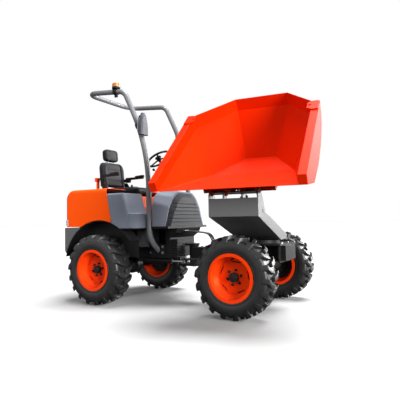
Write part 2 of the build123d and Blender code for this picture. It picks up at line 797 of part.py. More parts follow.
half_knuckle = knuckle_length / 2
lower = knuckle(hood_hinge_y - half_knuckle, hood_hinge_y + half_knuckle)
lower += block(hood_hinge_x - hood_hinge_r, hood_hinge_x + hood_hinge_r, hood_hinge_y - half_knuckle,
               hood_hinge_y + half_knuckle, counter_top_z, hood_hinge_z)
outer_end = half_knuckle + knuckle_gap + knuckle_length
lower += rod_y(hood_hinge_pin_r, hood_hinge_y - outer_end, hood_hinge_y + outer_end, hood_hinge_x,
               hood_hinge_z)
add("counterweight", counter + lower + mirror(lower, about=Plane.XZ))
hitch_x = counter_rear_x + 38
jaw = block(counter_rear_x + 6, counter_rear_x + 80, -45, 45, 560, 574)
jaw += block(counter_rear_x + 6, counter_rear_x + 80, -45, 45, 612, 626)
jaw += block(counter_rear_x + 66, counter_rear_x + 80, -45, 45, 560, 626)
jaw -= rod_z(13, 500, 700, hitch_x)
add("tow_jaw", jaw)


# ---- mudguards over the rear wheels ----
def mudguard():
    outer = arch_r - fender_gap
    rim_y = body_half_width - fender_gap * 3
    shell = rod_y(outer, fender_inner_y, rim_y, rear_axle_x, axle_z)
    shell -= rod_y(outer - fender_sheet, fender_inner_y + fender_sheet, rim_y + 1, rear_axle_x, axle_z)
    shell -= block(rear_axle_x - outer - 1, rear_axle_x + outer + 1, 0, rim_y + 1, axle_z - outer - 1,
                   fender_low_z)
    shell -= block(fender_front_x, rear_axle_x + outer + 1, 0, rim_y + 1, axle_z - outer, sill_z + 2)
    return shell


add("mudguards", both(mudguard()))


# ---- side pods with the step beside the seat ----
def side_pod():
    outline = [
        (pod_rear_low_x, sill_z), (pod_rear_low_x, pod_waist_z), (pod_rear_top_x, pod_top_z),
        (pod_front_top_x, pod_top_z), (pod_front_low_x, step_z), (pod_front_low_x, sill_z),
    ]
    pod = prism_y(outline, pod_inner_y, body_half_width)
    outer_face = pod.faces().sort_by(Axis.Y)[-1]
    round_edges = outer_face.edges().filter_by(
        lambda e: e.center().Z > step_z and e.center().X > pod_rear_top_x + 50)
    pod = fillet(round_edges, pod_edge_r)
    step = block(pod_front_low_x - 2, step_front_x, step_inner_y, body_half_width - step_inset, sill_z,
                 step_z)
    step = fillet(step.edges().filter_by(Axis.Z).sort_by(lambda e: e.center().X + e.center().Y)[-1], 90)
    tread_edges = step.faces().sort_by(Axis.Z)[-1].edges()
    step = fillet(tread_edges.filter_by(lambda e: e.center().Y > step_inner_y + 100), 14)
    return pod + step - arch_cut


add("side_pods", both(side_pod()))

# ---- floor plate with the flanges under the pods and the cowl ----
platform = block(platform_rear_x, cowl_rear_x, 2 - pod_inner_y, pod_inner_y - 2, floor_bottom, sill_z)
platform += block(pod_front_low_x, cowl_rear_x, 2 - step_inner_y, step_inner_y - 2, floor_bottom, sill_z)
flange = block(pod_front_low_x - 110, step_front_x + 4, 0, body_half_width, floor_bottom, sill_z) - arch_cut
flange -= rod_z(hoop_tube_r + 8, floor_bottom - 1, sill_z + 1, hoop_leg_x, hoop_y - 4)
platform += flange + mirror(flange, about=Plane.XZ)
platform += block(cowl_rear_x - 2, cowl_front_x + grille_depth + 10, -cowl_half_width - 10,
                  cowl_half_width + 10, floor_bottom, cowl_base_z)
platform -= both(rod_z(hoop_tube_r + 8, floor_bottom - 1, cowl_base_z + 1, hoop_leg_x, hoop_y - 4))
add("platform", platform)

# ---- cowl in front of the driver: half outlines as (distance from the middle, height) ----
cowl_rear = [(cowl_half_width, cowl_base_z), (404, 1100), (330, 1200), (150, 1245)]
cowl_front = [(cowl_half_width, cowl_base_z), (330, 1050), (250, 1157), (164, 1216)]


def cowl_section(half, x, inset):
    top = [(y - inset, z - (inset if i else 0)) for i, (y, z) in enumerate(half)]
    loop = [(x, y, z) for y, z in top] + [(x, -y, z) for y, z in reversed(top)]
    edge = FilletPolyline(*loop, radius=cowl_edge_r)
    return make_face([*edge.edges(), Line(loop[-1], loop[0])])


def cowl_loft(first, second):
    return loft([cowl_section(*first), cowl_section(*second)], ruled=True)


cowl = cowl_loft((cowl_rear, cowl_rear_x, 0), (cowl_front, cowl_front_x, 0))
cowl -= cowl_loft((cowl_rear, cowl_rear_x - 1, cowl_sheet),
                  (cowl_front, cowl_front_x - cowl_sheet, cowl_sheet))
add("cowl", cowl)
grille = cowl_loft((cowl_front, cowl_front_x, grille_inset),
                   (cowl_front, cowl_front_x + grille_depth, grille_inset + grille_taper))
for i in range(grille_slots):
    z = cowl_base_z + (i + 1) * grille_pitch
    grille -= block(cowl_front_x + 8, cowl_front_x + grille_depth + 1, -cowl_half_width, cowl_half_width,
                    z, z + grille_slot)
add("cowl_grille", grille)

console_outline = [  # (distance ahead of the cowl's rear edge, height)
    (0, cowl_base_z), (0, console_top_z - 200), (-64, console_top_z - 20), (-114, console_top_z),
    (-136, console_top_z - 30), (-94, console_top_z - 260), (-94, cowl_base_z),
]
console = prism_y([(cowl_rear_x - 1 + x, z) for x, z in console_outline], -console_half_width,
                  console_half_width)
console_edges = console.edges().filter_by(
    lambda e: abs(e.center().Y) > console_half_width - 1 and e.center().Z > console_top_z - 300)
console = fillet(console_edges, 12)
add("console", console)

# ---- steering wheel on its column ----
hub = Pos(steering_x, 0, steering_z) * Rot(0, -steering_tilt, 0)
grip = Plane.XZ * Pos(steering_r, 0) * RegularPolygon(steering_grip_r, 8)
wheel = revolve(grip, axis=Axis.Z) + Cylinder(30, 34)
for i in range(3):
    wheel += Rot(0, 0, i * 120 + 60) * Pos(steering_r / 2, 0, -4) * Box(steering_r - 5, 20, 9)
wheel += Pos(0, 0, -76) * Cylinder(16, 130)
add("steering_wheel", hub * wheel)

# ---- seat on its box ----
seat_box = block(seat_box_rear_x, seat_box_front_x, -seat_box_half_width, seat_box_half_width, sill_z,
                 seat_box_top_z)
seat_box = fillet(seat_box.edges().filter_by(Axis.Z).group_by(Axis.X)[-1], 20)
seat_box_inner = seat_box_half_width - seat_box_sheet
seat_box -= block(seat_box_rear_x - 5, seat_box_front_x - seat_box_sheet, -seat_box_inner, seat_box_inner,
                  sill_z - 5, seat_box_top_z - seat_box_sheet)
add("seat_box", seat_box)
cushion_low = seat_box_top_z + seat_rail_height
cushion = block(seat_box_rear_x, seat_box_front_x - 10, -seat_half_width, seat_half_width, cushion_low,
                cushion_top_z)
cushion = fillet(cushion.edges().filter_by(Axis.Z).group_by(Axis.X)[-1], cushion_corner_r)
cushion = fillet(cushion.faces().sort_by(Axis.Z)[-1].edges(), 22)
add("seat_cushion", cushion)
rails = block(seat_box_rear_x + 50, seat_box_front_x - 80, 120, 160, seat_box_top_z, cushion_low)
recliner = prism_y([  # (distance ahead of the seat box's rear edge, depth under the armrests)
    (seat_box_rear_x + x, armrest_z - z) for x, z in ((-40, 110), (30, 160), (70, 140), (-15, 10), (-70, 0))
], seat_half_width, seat_half_width + seat_bracket)
add("seat_rails", both(rails) + both(recliner))
back_outline = [(-5, cushion_top_z + 4), (-95, cushion_top_z + 4), (-125, seat_back_top_z),
                (-50, seat_back_top_z)]
seat_back = prism_y([(seat_box_rear_x + x, z) for x, z in back_outline], -seat_half_width, seat_half_width)
back_edges = seat_back.edges().filter_by(
    lambda e: e.center().Z > seat_back_top_z - 1 and abs(e.center().Y) > 1)
seat_back = fillet(back_edges, seat_top_r)
add("seat_back", seat_back)
rest_low = seat_back_top_z + 10
rest_high = rest_low + headrest_height
rest_outline = [(-60, rest_low), (-148, rest_low), (-152, rest_high - 5), (-80, rest_high)]
headrest = prism_y([(seat_box_rear_x + x, z) for x, z in rest_outline], -headrest_half_width,
                   headrest_half_width)
rest_edges = headrest.edges().filter_by(
    lambda e: e.center().Z > rest_high - 10 and abs(e.center().Y) > 1)
headrest = fillet(rest_edges, seat_top_r)
for y in (-50, 50):
    headrest += rod_z(7, seat_back_top_z, seat_back_top_z + 40, seat_box_rear_x - 90, y)
add("headrest", headrest)
# (distance ahead of the seat box's rear edge, height over the armrest's foot)
arm_outline = [(-50, 0), (10, 0), (20, 36), (220, 40), (230, 65), (-50, 65)]
armrest = prism_y([(seat_box_rear_x + x, armrest_z + z) for x, z in arm_outline],
                  seat_half_width + seat_bracket,
                  seat_half_width + seat_bracket + armrest_width)
arm_outer_y = seat_half_width + seat_bracket + 5
armrest += block(seat_box_rear_x - 70, seat_box_rear_x - 30, seat_half_width, arm_outer_y,
                 armrest_z + 5, armrest_z + 45)
add("armrests", both(armrest))

# ---- roll hoop, one bent tube ----
near = [
    (hoop_leg_x, hoop_foot_y, hoop_foot_z),
    (hoop_leg_x, hoop_y, hoop_ankle_z),
    (hoop_leg_x, hoop_y, hoop_lean_z),
    (hoop_top_front[0], hoop_y, hoop_top_front[1]),
    (hoop_top_rear[0], hoop_y, hoop_top_rear[1]),
]
bends = [hoop_ankle_r, hoop_lean_r, hoop_corner_r, hoop_rear_corner_r]
far = [across(point) for point in reversed(near)]
path = FilletPolyline(*near, *far, radius=bends + bends[::-1])
start = Plane(origin=path @ 0, z_dir=path % 0)
hoop = sweep(start * Circle(hoop_tube_r), path=path)
hoop -= block(hoop_leg_x - 60, hoop_leg_x + 60, -hoop_pad_y, hoop_pad_y, hoop_pad_low - 40, hoop_ankle_z)
add("roll_hoop", hoop)


def clamp(origin, direction, length):
    # a collar round the hoop's tube
    place = Plane(origin=origin, z_dir=direction)
    ring = Cylinder(hoop_tube_r + clamp_wall, length) - Cylinder(hoop_tube_r + running_gap, length * 2)
    return place * ring


# ---- beacon on the hoop's right side ----
top_rise = (hoop_top_rear[1] - hoop_top_front[1]) / (hoop_top_front[0] - hoop_top_rear[0])
tube_z = hoop_top_front[1] + (hoop_top_front[0] - beacon_x) * top_rise
beacon_base_z = tube_z + hoop_tube_r + clamp_wall - 2
beacon_base = clamp((beacon_x, -hoop_y, tube_z), (-1, 0, top_rise), 44)
disc = rod_z(beacon_r + 4, beacon_base_z, beacon_base_z + 20, beacon_x, -hoop_y)
beacon_base += disc + block(beacon_x - 20, beacon_x + 20, -hoop_y - 8, -hoop_y + 8, tube_z - 62,
                            tube_z - hoop_tube_r - 3)
add("beacon_base", beacon_base)
dome_outline = [  # (radius, height)
    (0, 0), (beacon_r, 0), (beacon_r, 30), (beacon_r - 3, 40), (beacon_r - 11, 47), (beacon_r - 24, 50),
    (0, 51),
]
dome = revolve(make_face(Polyline(*[(r, 0, z) for r, z in dome_outline], close=True)), axis=Axis.Z)
add("beacon_dome", Pos(beacon_x, -hoop_y, beacon_base_z + 20) * dome)


# ---- mirrors on clamped arms ----
def mirror_head():
    sections = [  # (height, half width, half depth)
        (-120, 66, 26), (-20, 62, 30), (80, 40, 24), (118, 22, 14),
    ]
    faces = [Pos(0, 0, z) * RectangleRounded(2 * depth, 2 * width, depth * 0.8) for z, width,
             depth in sections]
    return loft(faces, ruled=True)


hoop_lean = math.atan2(hoop_leg_x - hoop_top_front[0], hoop_top_front[1] - hoop_lean_z)
bend_start_z = hoop_lean_z - hoop_lean_r * math.tan(hoop_lean / 2)
lean_turn = math.asin((mirror_arm_z - bend_start_z) / hoop_lean_r)
clamp_at = Vector(hoop_leg_x - hoop_lean_r * (1 - math.cos(lean_turn)), hoop_y, mirror_arm_z)
mirror_piece = clamp(clamp_at, (-math.sin(lean_turn), 0, math.cos(lean_turn)), 40)
head_at = Vector(mirror_x, mirror_y, mirror_z)
span = head_at - clamp_at
arm_start = hoop_tube_r + clamp_wall - 1
arm_length = span.length - arm_start
arm_middle = clamp_at + span.normalized() * (arm_start + arm_length / 2)
arm = Plane(origin=arm_middle, z_dir=span) * Cylinder(mirror_arm_r, arm_length)
add("mirrors", both(mirror_piece + arm + Pos(head_at) * mirror_head()))


# ---- hood, hinged low at the rear ----
def hood_form(inset, below, ahead):
    # the hood's outer form made smaller by inset, open past the bottom and the front
    low = hood_bottom_z - below
    high = hood_top_z - inset
    rear = hood_rear_x + inset
    waist = pod_rear_low_x - panel_gap + ahead
    outline = [(rear, low), (rear, high), (pod_rear_top_x - panel_gap - 4 + ahead, high),
               (waist, pod_waist_z), (waist, low)]
    half = body_half_width - inset
    form = prism_y(outline, -half, half)
    rear_corner = Vector(rear, 0, high)
    top_rear = form.edges().filter_by(Axis.Y).sort_by(lambda e: (e.center() - rear_corner).length)[0]
    form = fillet(top_rear, hood_corner_r - inset)
    round_edges = form.edges().filter_by(
        lambda e: abs(abs(e.center().Y) - half) < 1 and e.center().Z > low + 1
        and e.center().X < pod_rear_top_x - 60)
    return fillet(round_edges, hood_edge_r - inset)


hood = hood_form(0, 0, 0) - hood_form(hood_sheet, 50, 100)
hood -= rod_y(arch_r + 3, -body_half_width - 10, body_half_width + 10, rear_axle_x, axle_z)
hood -= block(seat_notch_x, pod_rear_low_x, -seat_notch_y, seat_notch_y, 1000, hood_top_z + 10)
lamp_in = body_half_width - lamp_width
lamp_pocket = block(hood_rear_x - 5, hood_rear_x + lamp_depth + lamp_gap, lamp_in - lamp_gap,
                    body_half_width + 5,
                    lamp_low_z - lamp_gap, lamp_high_z + lamp_gap)
upper = block(hood_hinge_x, hood_rear_x + 1, hood_hinge_y + half_knuckle + knuckle_gap,
              hood_hinge_y + outer_end,
              hood_hinge_z, hood_hinge_z + 24)
upper += knuckle(hood_hinge_y + half_knuckle + knuckle_gap, hood_hinge_y + outer_end)
inner_upper = Pos(0, 2 * hood_hinge_y, 0) * mirror(upper, about=Plane.XZ)
for leaf in (upper, inner_upper):
    leaf = leaf - rod_y(hood_hinge_pin_r + running_gap, 0, body_half_width, hood_hinge_x, hood_hinge_z)
    hood += leaf + mirror(leaf, about=Plane.XZ)
hood -= both(lamp_pocket)
stalk_top_z = hood_top_z + latch_height - latch_knob
latch = block(seat_notch_x - 60, seat_notch_x - 34, -latch_y - latch_post, -latch_y + latch_post, hood_top_z,
              stalk_top_z + 5)
latch_ends = [  # (front, bottom, top)
    (seat_notch_x - 37, stalk_top_z, stalk_top_z + latch_knob),
    (seat_notch_x - 15, hood_top_z, hood_top_z + latch_post),
]
for front, low, high in latch_ends:
    latch += block(seat_notch_x - 77, front, -latch_y - latch_foot, -latch_y + latch_foot, low, high)
add("hood", hood + latch)
lamp = block(hood_rear_x - lamp_proud, hood_rear_x + lamp_depth, lamp_in, body_half_width + lamp_proud,
             lamp_low_z, lamp_high_z)
lamp = fillet(lamp.edges().filter_by(Axis.Z).sort_by(lambda e: e.center().Y - e.center().X)[-1], 26)
add("rear_lamps", both(lamp))

# ---- the origin goes to the middle of the whole machine's footprint ----
box = Compound([solid for piece in nodes.values() for solid in piece.solids()]).bounding_box()
shift = Vector(-(box.min.X + box.max.X) / 2, -(box.min.Y + box.max.Y) / 2, -box.min.Z)
for name, piece in nodes.items():
    export_step(Pos(shift.X, shift.Y, shift.Z) * piece, f"parts/{name}.step")
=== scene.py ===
# Site dumper with a swivel skip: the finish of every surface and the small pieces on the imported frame.
import json
import math
import bmesh
import bpy
from mathutils import Matrix, Vector


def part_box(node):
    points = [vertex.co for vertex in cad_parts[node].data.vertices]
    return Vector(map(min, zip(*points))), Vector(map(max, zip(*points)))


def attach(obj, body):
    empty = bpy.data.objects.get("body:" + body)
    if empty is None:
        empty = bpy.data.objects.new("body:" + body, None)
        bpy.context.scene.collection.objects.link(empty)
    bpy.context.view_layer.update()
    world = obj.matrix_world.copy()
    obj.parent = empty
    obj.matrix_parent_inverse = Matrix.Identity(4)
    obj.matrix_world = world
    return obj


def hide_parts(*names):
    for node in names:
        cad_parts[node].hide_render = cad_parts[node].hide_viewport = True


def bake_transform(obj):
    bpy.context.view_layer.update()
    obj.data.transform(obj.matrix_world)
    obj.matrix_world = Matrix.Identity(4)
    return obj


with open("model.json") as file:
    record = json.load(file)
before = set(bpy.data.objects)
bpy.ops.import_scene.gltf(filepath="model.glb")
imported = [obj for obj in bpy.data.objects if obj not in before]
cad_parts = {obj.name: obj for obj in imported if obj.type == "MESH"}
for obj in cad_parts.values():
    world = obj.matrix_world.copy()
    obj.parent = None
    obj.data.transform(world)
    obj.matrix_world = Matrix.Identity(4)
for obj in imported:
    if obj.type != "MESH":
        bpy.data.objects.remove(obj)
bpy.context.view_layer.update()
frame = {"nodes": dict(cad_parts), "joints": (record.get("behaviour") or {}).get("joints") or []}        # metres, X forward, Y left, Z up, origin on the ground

nodes = frame["nodes"]
joints = {joint["name"]: joint for joint in frame["joints"]}
scene = bpy.context.scene


class Wire:
    # one socket of a material; the arithmetic signs add Math nodes to it
    def __init__(self, tree, socket):
        self.tree = tree
        self.socket = socket

    def calc(self, operation, *values):
        return addNode(self.tree, "ShaderNodeMath", {"operation": operation}, values)

    def __add__(self, other):
        return self.calc("ADD", self, other)

    def __sub__(self, other):
        return self.calc("SUBTRACT", self, other)

    def __rsub__(self, other):
        return self.calc("SUBTRACT", other, self)

    def __mul__(self, other):
        return self.calc("MULTIPLY", self, other)

    def __gt__(self, other):
        return self.calc("GREATER_THAN", self, other)

    __radd__ = __add__

    def held(self):
        # kept between 0 and 1
        return self.calc("MAXIMUM", self.calc("MINIMUM", self, 1.0), 0.0)


def addNode(tree, kind, settings=None, values=(), output=0):
    # settings come first; values go to the inputs by place, or by name when they are a dictionary
    node = tree.nodes.new(kind)
    for key, value in (settings or {}).items():
        setattr(node, key, value)
    pairs = values.items() if isinstance(values, dict) else enumerate(values)
    for key, value in pairs:
        if isinstance(value, Wire):
            tree.links.new(value.socket, node.inputs[key])
        elif value is not None:
            if hasattr(value, "__len__") and node.inputs[key].type == "RGBA":
                value = (*value, 1.0)
            node.inputs[key].default_value = value
    return Wire(tree, node.outputs[output]) if len(node.outputs) else None


class Finish:
    # a material under construction
    def __init__(self, name):
        self.material = bpy.data.materials.new(name)
        self.material.use_nodes = True
        self.tree = self.material.node_tree
        self.tree.nodes.clear()
        self.place = self.node("ShaderNodeTexCoord", output="Object")

    def node(self, kind, settings=None, values=(), output=0):
        return addNode(self.tree, kind, settings, values, output)

    def noise(self, scale, detail=3.0, rough=0.5):
        values = {"Vector": self.place, "Scale": scale, "Detail": detail, "Roughness": rough}
        return self.node("ShaderNodeTexNoise", {}, values)

    def mix(self, share, first, second):
        # colours mixed by share
        return self.node("ShaderNodeMix", {"data_type": "RGBA"}, {0: share, 6: first, 7: second}, output=2)

    def bump(self, height, strength, distance, normal=None):
        values = {"Height": height, "Strength": strength, "Distance": distance, "Normal": normal}
        return self.node("ShaderNodeBump", {}, values)

    def softEdge(self, radius):
        return self.node("ShaderNodeBevel", {"samples": 4}, {"Radius": radius})

    def edgeMask(self, radius):
        # 1 on edges, 0 on flat faces
        turned = self.softEdge(radius)
        straight = self.node("ShaderNodeNewGeometry", output="Normal")
        along = self.node("ShaderNodeVectorMath", {"operation": "DOT_PRODUCT"}, {0: turned, 1: straight},
                          "Value")
        return ((1.0 - along) * 9.0).held()

    def upward(self):
        # 1 on faces that look up, 0 on level sides and undersides
        straight = self.node("ShaderNodeNewGeometry", output="Normal")
        split = self.node("ShaderNodeSeparateXYZ", {}, {0: straight}, "Z")
        return split.held()

    def height(self):
        return self.node("ShaderNodeSeparateXYZ", {}, {0: self.place}, "Z")

    def finish(self, base, rough, normal, others):
        values = {"Base Color": base, "Roughness": rough, "Normal": normal, **others}
        shader = self.node("ShaderNodeBsdfPrincipled", {}, values)
        self.node("ShaderNodeOutputMaterial", {}, {"Surface": shader})
        return self.material


paintPlan = {"speckScale": 190.0, "edgeWearAndHighlightScale": 34.0, "dustTop": 0.75, "dustFade": 1.4, "dustScale": 9.0,
             "layScale": 5.0, "layShare": 0.35, "sheenScale": 26.0, "dustRough": 0.35, "edgeWearAndHighlightRough": 0.15,
             "dustColour": (0.34, 0.30, 0.25)}


def paint(name, look):
    # sprayed or powder coated steel: a slight mottle, orange peel, paler edges that are partly wear and
    # partly a painted highlight, and road dust low down
    m = Finish(name)
    blotch = m.noise(look["blotch"], 4.0)
    speck = m.noise(paintPlan["speckScale"], 2.0)
    edges = m.edgeMask(look["edge"])
    # painted highlight and wear: edges are lightened in patches towards a paler colour, standing both for
    # rubbed paint and for light caught along the sheet edges
    edgeWearAndHighlight = (edges * (m.noise(paintPlan["edgeWearAndHighlightScale"], 5.0) > 0.5) * look["edgeWearAndHighlightAmount"]).held()
    base = m.mix(blotch, look["dark"], look["light"])
    base = m.mix(edgeWearAndHighlight, base, look["edgeWearAndHighlight"])
    nearGround = ((paintPlan["dustTop"] - m.height()) * paintPlan["dustFade"]).held()
    thrown = nearGround * m.noise(paintPlan["dustScale"], 6.0, 0.65)
    lying = m.upward() * m.noise(paintPlan["layScale"], 5.0)
    dust = (thrown * look["dust"] + lying * look["dust"] * paintPlan["layShare"]).held()
    base = m.mix(dust, base, paintPlan["dustColour"])
    rough = look["rough"] + m.noise(paintPlan["sheenScale"], 3.0) * 0.10
    rough = rough + dust * paintPlan["dustRough"] + edgeWearAndHighlight * paintPlan["edgeWearAndHighlightRough"]
    peel = m.bump(speck, look.get("peel", 0.05), 0.0006, m.softEdge(look["edge"]))
    return m.finish(base, rough.held(), peel, {
        "Coat Weight": look.get("coat", 0.0), "Coat Roughness": 0.10,
        "Specular IOR Level": look["shine"], "Specular Tint": look.get("tint", (1.0, 1.0, 1.0))})


def mouldedPlastic(name, look):
    # grained moulded plastic
    m = Finish(name)
    grain = m.node("ShaderNodeTexVoronoi", {}, {"Vector": m.place, "Scale": look["grain"]})
    cloud = m.noise(6.0, 4.0)
    base = m.mix(cloud, look["dark"], look["light"])
    dust = (m.upward() * m.noise(7.0, 6.0, 0.6) * look["dust"]).held()
    base = m.mix(dust, base, (0.30, 0.28, 0.25))
    rough = look["rough"] + cloud * 0.12 + dust * 0.2
    skin = m.bump(grain, look["depth"], 0.0008, m.softEdge(0.003))
    return m.finish(base, rough.held(), skin, {"Specular IOR Level": 0.12})


def rubber(name, look):
    # tyre rubber, greyer and duller in scattered scuffed patches
    m = Finish(name)
    cloud = m.noise(11.0, 5.0, 0.6)
    fine = m.noise(140.0, 4.0, 0.6)
    base = m.mix(cloud, look["dark"], look["light"])
    scuff = ((m.noise(30.0, 6.0, 0.7) - 0.52) * 3.0).held() * look["scuff"]
    base = m.mix(scuff, base, look["dustColour"])
    rough = look["rough"] + cloud * 0.14 + scuff * 0.2
    skin = m.bump(fine, 0.18, 0.0012)
    return m.finish(base, rough.held(), skin, {"Specular IOR Level": 0.45})


def bareMetal(name, look):
    m = Finish(name)
    streak = m.noise(12.0)
    base = m.mix(streak, look["dark"], look["light"])
    rough = look["rough"] + streak * 0.12
    return m.finish(base, rough.held(), m.bump(streak, 0.05, 0.0005), {"Metallic": 1.0})


def lens(name, look):
    # a tinted plastic lens with moulded ribs
    m = Finish(name)
    ribs = m.node("ShaderNodeTexWave", {"wave_type": "BANDS", "bands_direction": look["ribs"]},
                  {"Vector": m.place, "Scale": look["ribScale"], "Distortion": 0.0})
    cloud = m.noise(40.0, 2.0)
    base = m.mix(cloud, look["dark"], look["light"])
    return m.finish(base, 0.28 + cloud * 0.06, m.bump(ribs, 0.35, 0.002), {
        "Coat Weight": 0.15, "Emission Color": look["light"], "Emission Strength": look.get("glow", 0.0)})


def vinyl(name, look):
    # seat vinyl with a fine leather grain
    m = Finish(name)
    grain = m.node("ShaderNodeTexVoronoi", {"feature": "DISTANCE_TO_EDGE"},
                   {"Vector": m.place, "Scale": 420.0})
    crease = m.noise(24.0, 5.0, 0.6)
    base = m.mix(crease, look["dark"], look["light"])
    rough = look["rough"] + crease * 0.15
    folds = m.bump(crease, 0.10, 0.004)
    skin = m.bump(grain, 0.12, 0.0006, folds)
    return m.finish(base, rough.held(), skin, {"Specular IOR Level": 0.12})


# each paint's paler edge colour is partly edge wear and partly a painted highlight along the edges
skipOrange = paint("skipOrange", {
    "dark": (0.47, 0.0105, 0.0002), "light": (0.55, 0.0150, 0.0004), "edgeWearAndHighlight": (0.60, 0.05, 0.01),
    "blotch": 2.5, "edge": 0.004, "edgeWearAndHighlightAmount": 0.3, "dust": 0.01, "rough": 0.36, "shine": 0.05,
    "tint": (1.0, 0.22, 0.06)})
beamRed = paint("beamRed", {
    "dark": (0.26, 0.006, 0.001), "light": (0.33, 0.009, 0.001), "edgeWearAndHighlight": (0.7, 0.10, 0.04), "blotch": 4.0,
    "edge": 0.003, "edgeWearAndHighlightAmount": 0.5, "dust": 0.08, "rough": 0.38, "coat": 0.05, "shine": 0.2,
    "tint": (1.0, 0.22, 0.06)})
hoodOrange = paint("hoodOrange", {
    "dark": (0.70, 0.058, 0.0006), "light": (0.80, 0.072, 0.001), "edgeWearAndHighlight": (0.7, 0.12, 0.02), "blotch": 2.0,
    "edge": 0.006, "edgeWearAndHighlightAmount": 0.15, "dust": 0.01, "rough": 0.34, "shine": 0.12,
    "tint": (1.0, 0.22, 0.06)})
rimOrange = paint("rimOrange", {
    "dark": (0.60, 0.026, 0.0003), "light": (0.68, 0.036, 0.0006), "edgeWearAndHighlight": (0.5, 0.10, 0.03),
    "blotch": 9.0, "edge": 0.003, "edgeWearAndHighlightAmount": 0.4, "dust": 0.03, "rough": 0.30, "shine": 0.25,
    "tint": (1.0, 0.22, 0.06)})
panelGrey = paint("panelGrey", {
    "dark": (0.116, 0.129, 0.160), "light": (0.134, 0.148, 0.182), "edgeWearAndHighlight": (0.20, 0.21, 0.23),
    "blotch": 3.0, "edge": 0.006, "edgeWearAndHighlightAmount": 0.2, "dust": 0.06, "rough": 0.46, "peel": 0.10, "shine": 0.06})
hoopGrey = paint("hoopGrey", {
    "dark": (0.098, 0.102, 0.110), "light": (0.115, 0.119, 0.128), "edgeWearAndHighlight": (0.26, 0.26, 0.27),
    "blotch": 4.0, "edge": 0.003, "edgeWearAndHighlightAmount": 0.05, "dust": 0.03, "rough": 0.34, "coat": 0.10, "peel": 0.015,
    "shine": 0.30})
pedestalGrey = paint("pedestalGrey", {
    "dark": (0.066, 0.067, 0.069), "light": (0.078, 0.079, 0.081), "edgeWearAndHighlight": (0.20, 0.20, 0.21),
    "blotch": 3.0, "edge": 0.003, "edgeWearAndHighlightAmount": 0.6, "dust": 0.06, "rough": 0.34, "shine": 0.60})
counterGrey = paint("counterGrey", {
    "dark": (0.075, 0.078, 0.082), "light": (0.095, 0.098, 0.102), "edgeWearAndHighlight": (0.18, 0.18, 0.18),
    "blotch": 5.0, "edge": 0.006, "edgeWearAndHighlightAmount": 0.3, "dust": 0.12, "rough": 0.55, "peel": 0.25, "shine": 0.10})
chassisBlack = paint("chassisBlack", {
    "dark": (0.0055, 0.0055, 0.006), "light": (0.010, 0.010, 0.011), "edgeWearAndHighlight": (0.06, 0.06, 0.06),
    "blotch": 6.0, "edge": 0.003, "edgeWearAndHighlightAmount": 0.6, "dust": 0.06, "rough": 0.36, "shine": 0.10})
enginePaint = paint("enginePaint", {
    "dark": (0.008, 0.008, 0.009), "light": (0.013, 0.013, 0.014), "edgeWearAndHighlight": (0.06, 0.06, 0.06),
    "blotch": 12.0, "edge": 0.004, "edgeWearAndHighlightAmount": 0.4, "dust": 0.05, "rough": 0.5, "shine": 0.10})
blackPlastic = mouldedPlastic("blackPlastic", {
    "dark": (0.006, 0.006, 0.0065), "light": (0.011, 0.011, 0.012), "grain": 520.0, "depth": 0.16,
    "dust": 0.04, "rough": 0.46})
grilleGrey = mouldedPlastic("grilleGrey", {
    "dark": (0.013, 0.014, 0.017), "light": (0.018, 0.019, 0.023), "grain": 520.0, "depth": 0.12,
    "dust": 0.02, "rough": 0.46})
greyPlastic = mouldedPlastic("greyPlastic", {
    "dark": (0.038, 0.041, 0.048), "light": (0.050, 0.054, 0.064), "grain": 520.0, "depth": 0.12,
    "dust": 0.04, "rough": 0.42})
tyreRubber = rubber("tyreRubber", {
    "dark": (0.0042, 0.0043, 0.0047), "light": (0.0080, 0.0083, 0.0090), "scuff": 0.12,
    "dustColour": (0.025, 0.026, 0.027), "rough": 0.38})
brightSteel = bareMetal("brightSteel",
                        {"dark": (0.34, 0.35, 0.36), "light": (0.42, 0.43, 0.44), "rough": 0.22})
zincSteel = bareMetal("zincSteel", {"dark": (0.20, 0.20, 0.19), "light": (0.30, 0.30, 0.28), "rough": 0.38})
amberLens = lens("amberLens", {"dark": (0.30, 0.085, 0.002), "light": (0.40, 0.130, 0.005), "ribs": "Z",
                               "ribScale": 40.0, "glow": 0.02})
lampLens = lens("lampLens", {"dark": (0.30, 0.27, 0.27), "light": (0.42, 0.38, 0.38), "ribs": "Z",
                             "ribScale": 60.0})
seatVinyl = vinyl("seatVinyl", {"dark": (0.0045, 0.0048, 0.0062), "light": (0.0085, 0.0090, 0.0115),
                                "rough": 0.46})
buttonRed = mouldedPlastic("buttonRed", {
    "dark": (0.45, 0.010, 0.008), "light": (0.55, 0.016, 0.010), "grain": 600.0, "depth": 0.05, "dust": 0.02,
    "rough": 0.35})
mirrorGlass = bareMetal("mirrorGlass",
                        {"dark": (0.80, 0.82, 0.84), "light": (0.86, 0.88, 0.90), "rough": 0.03})

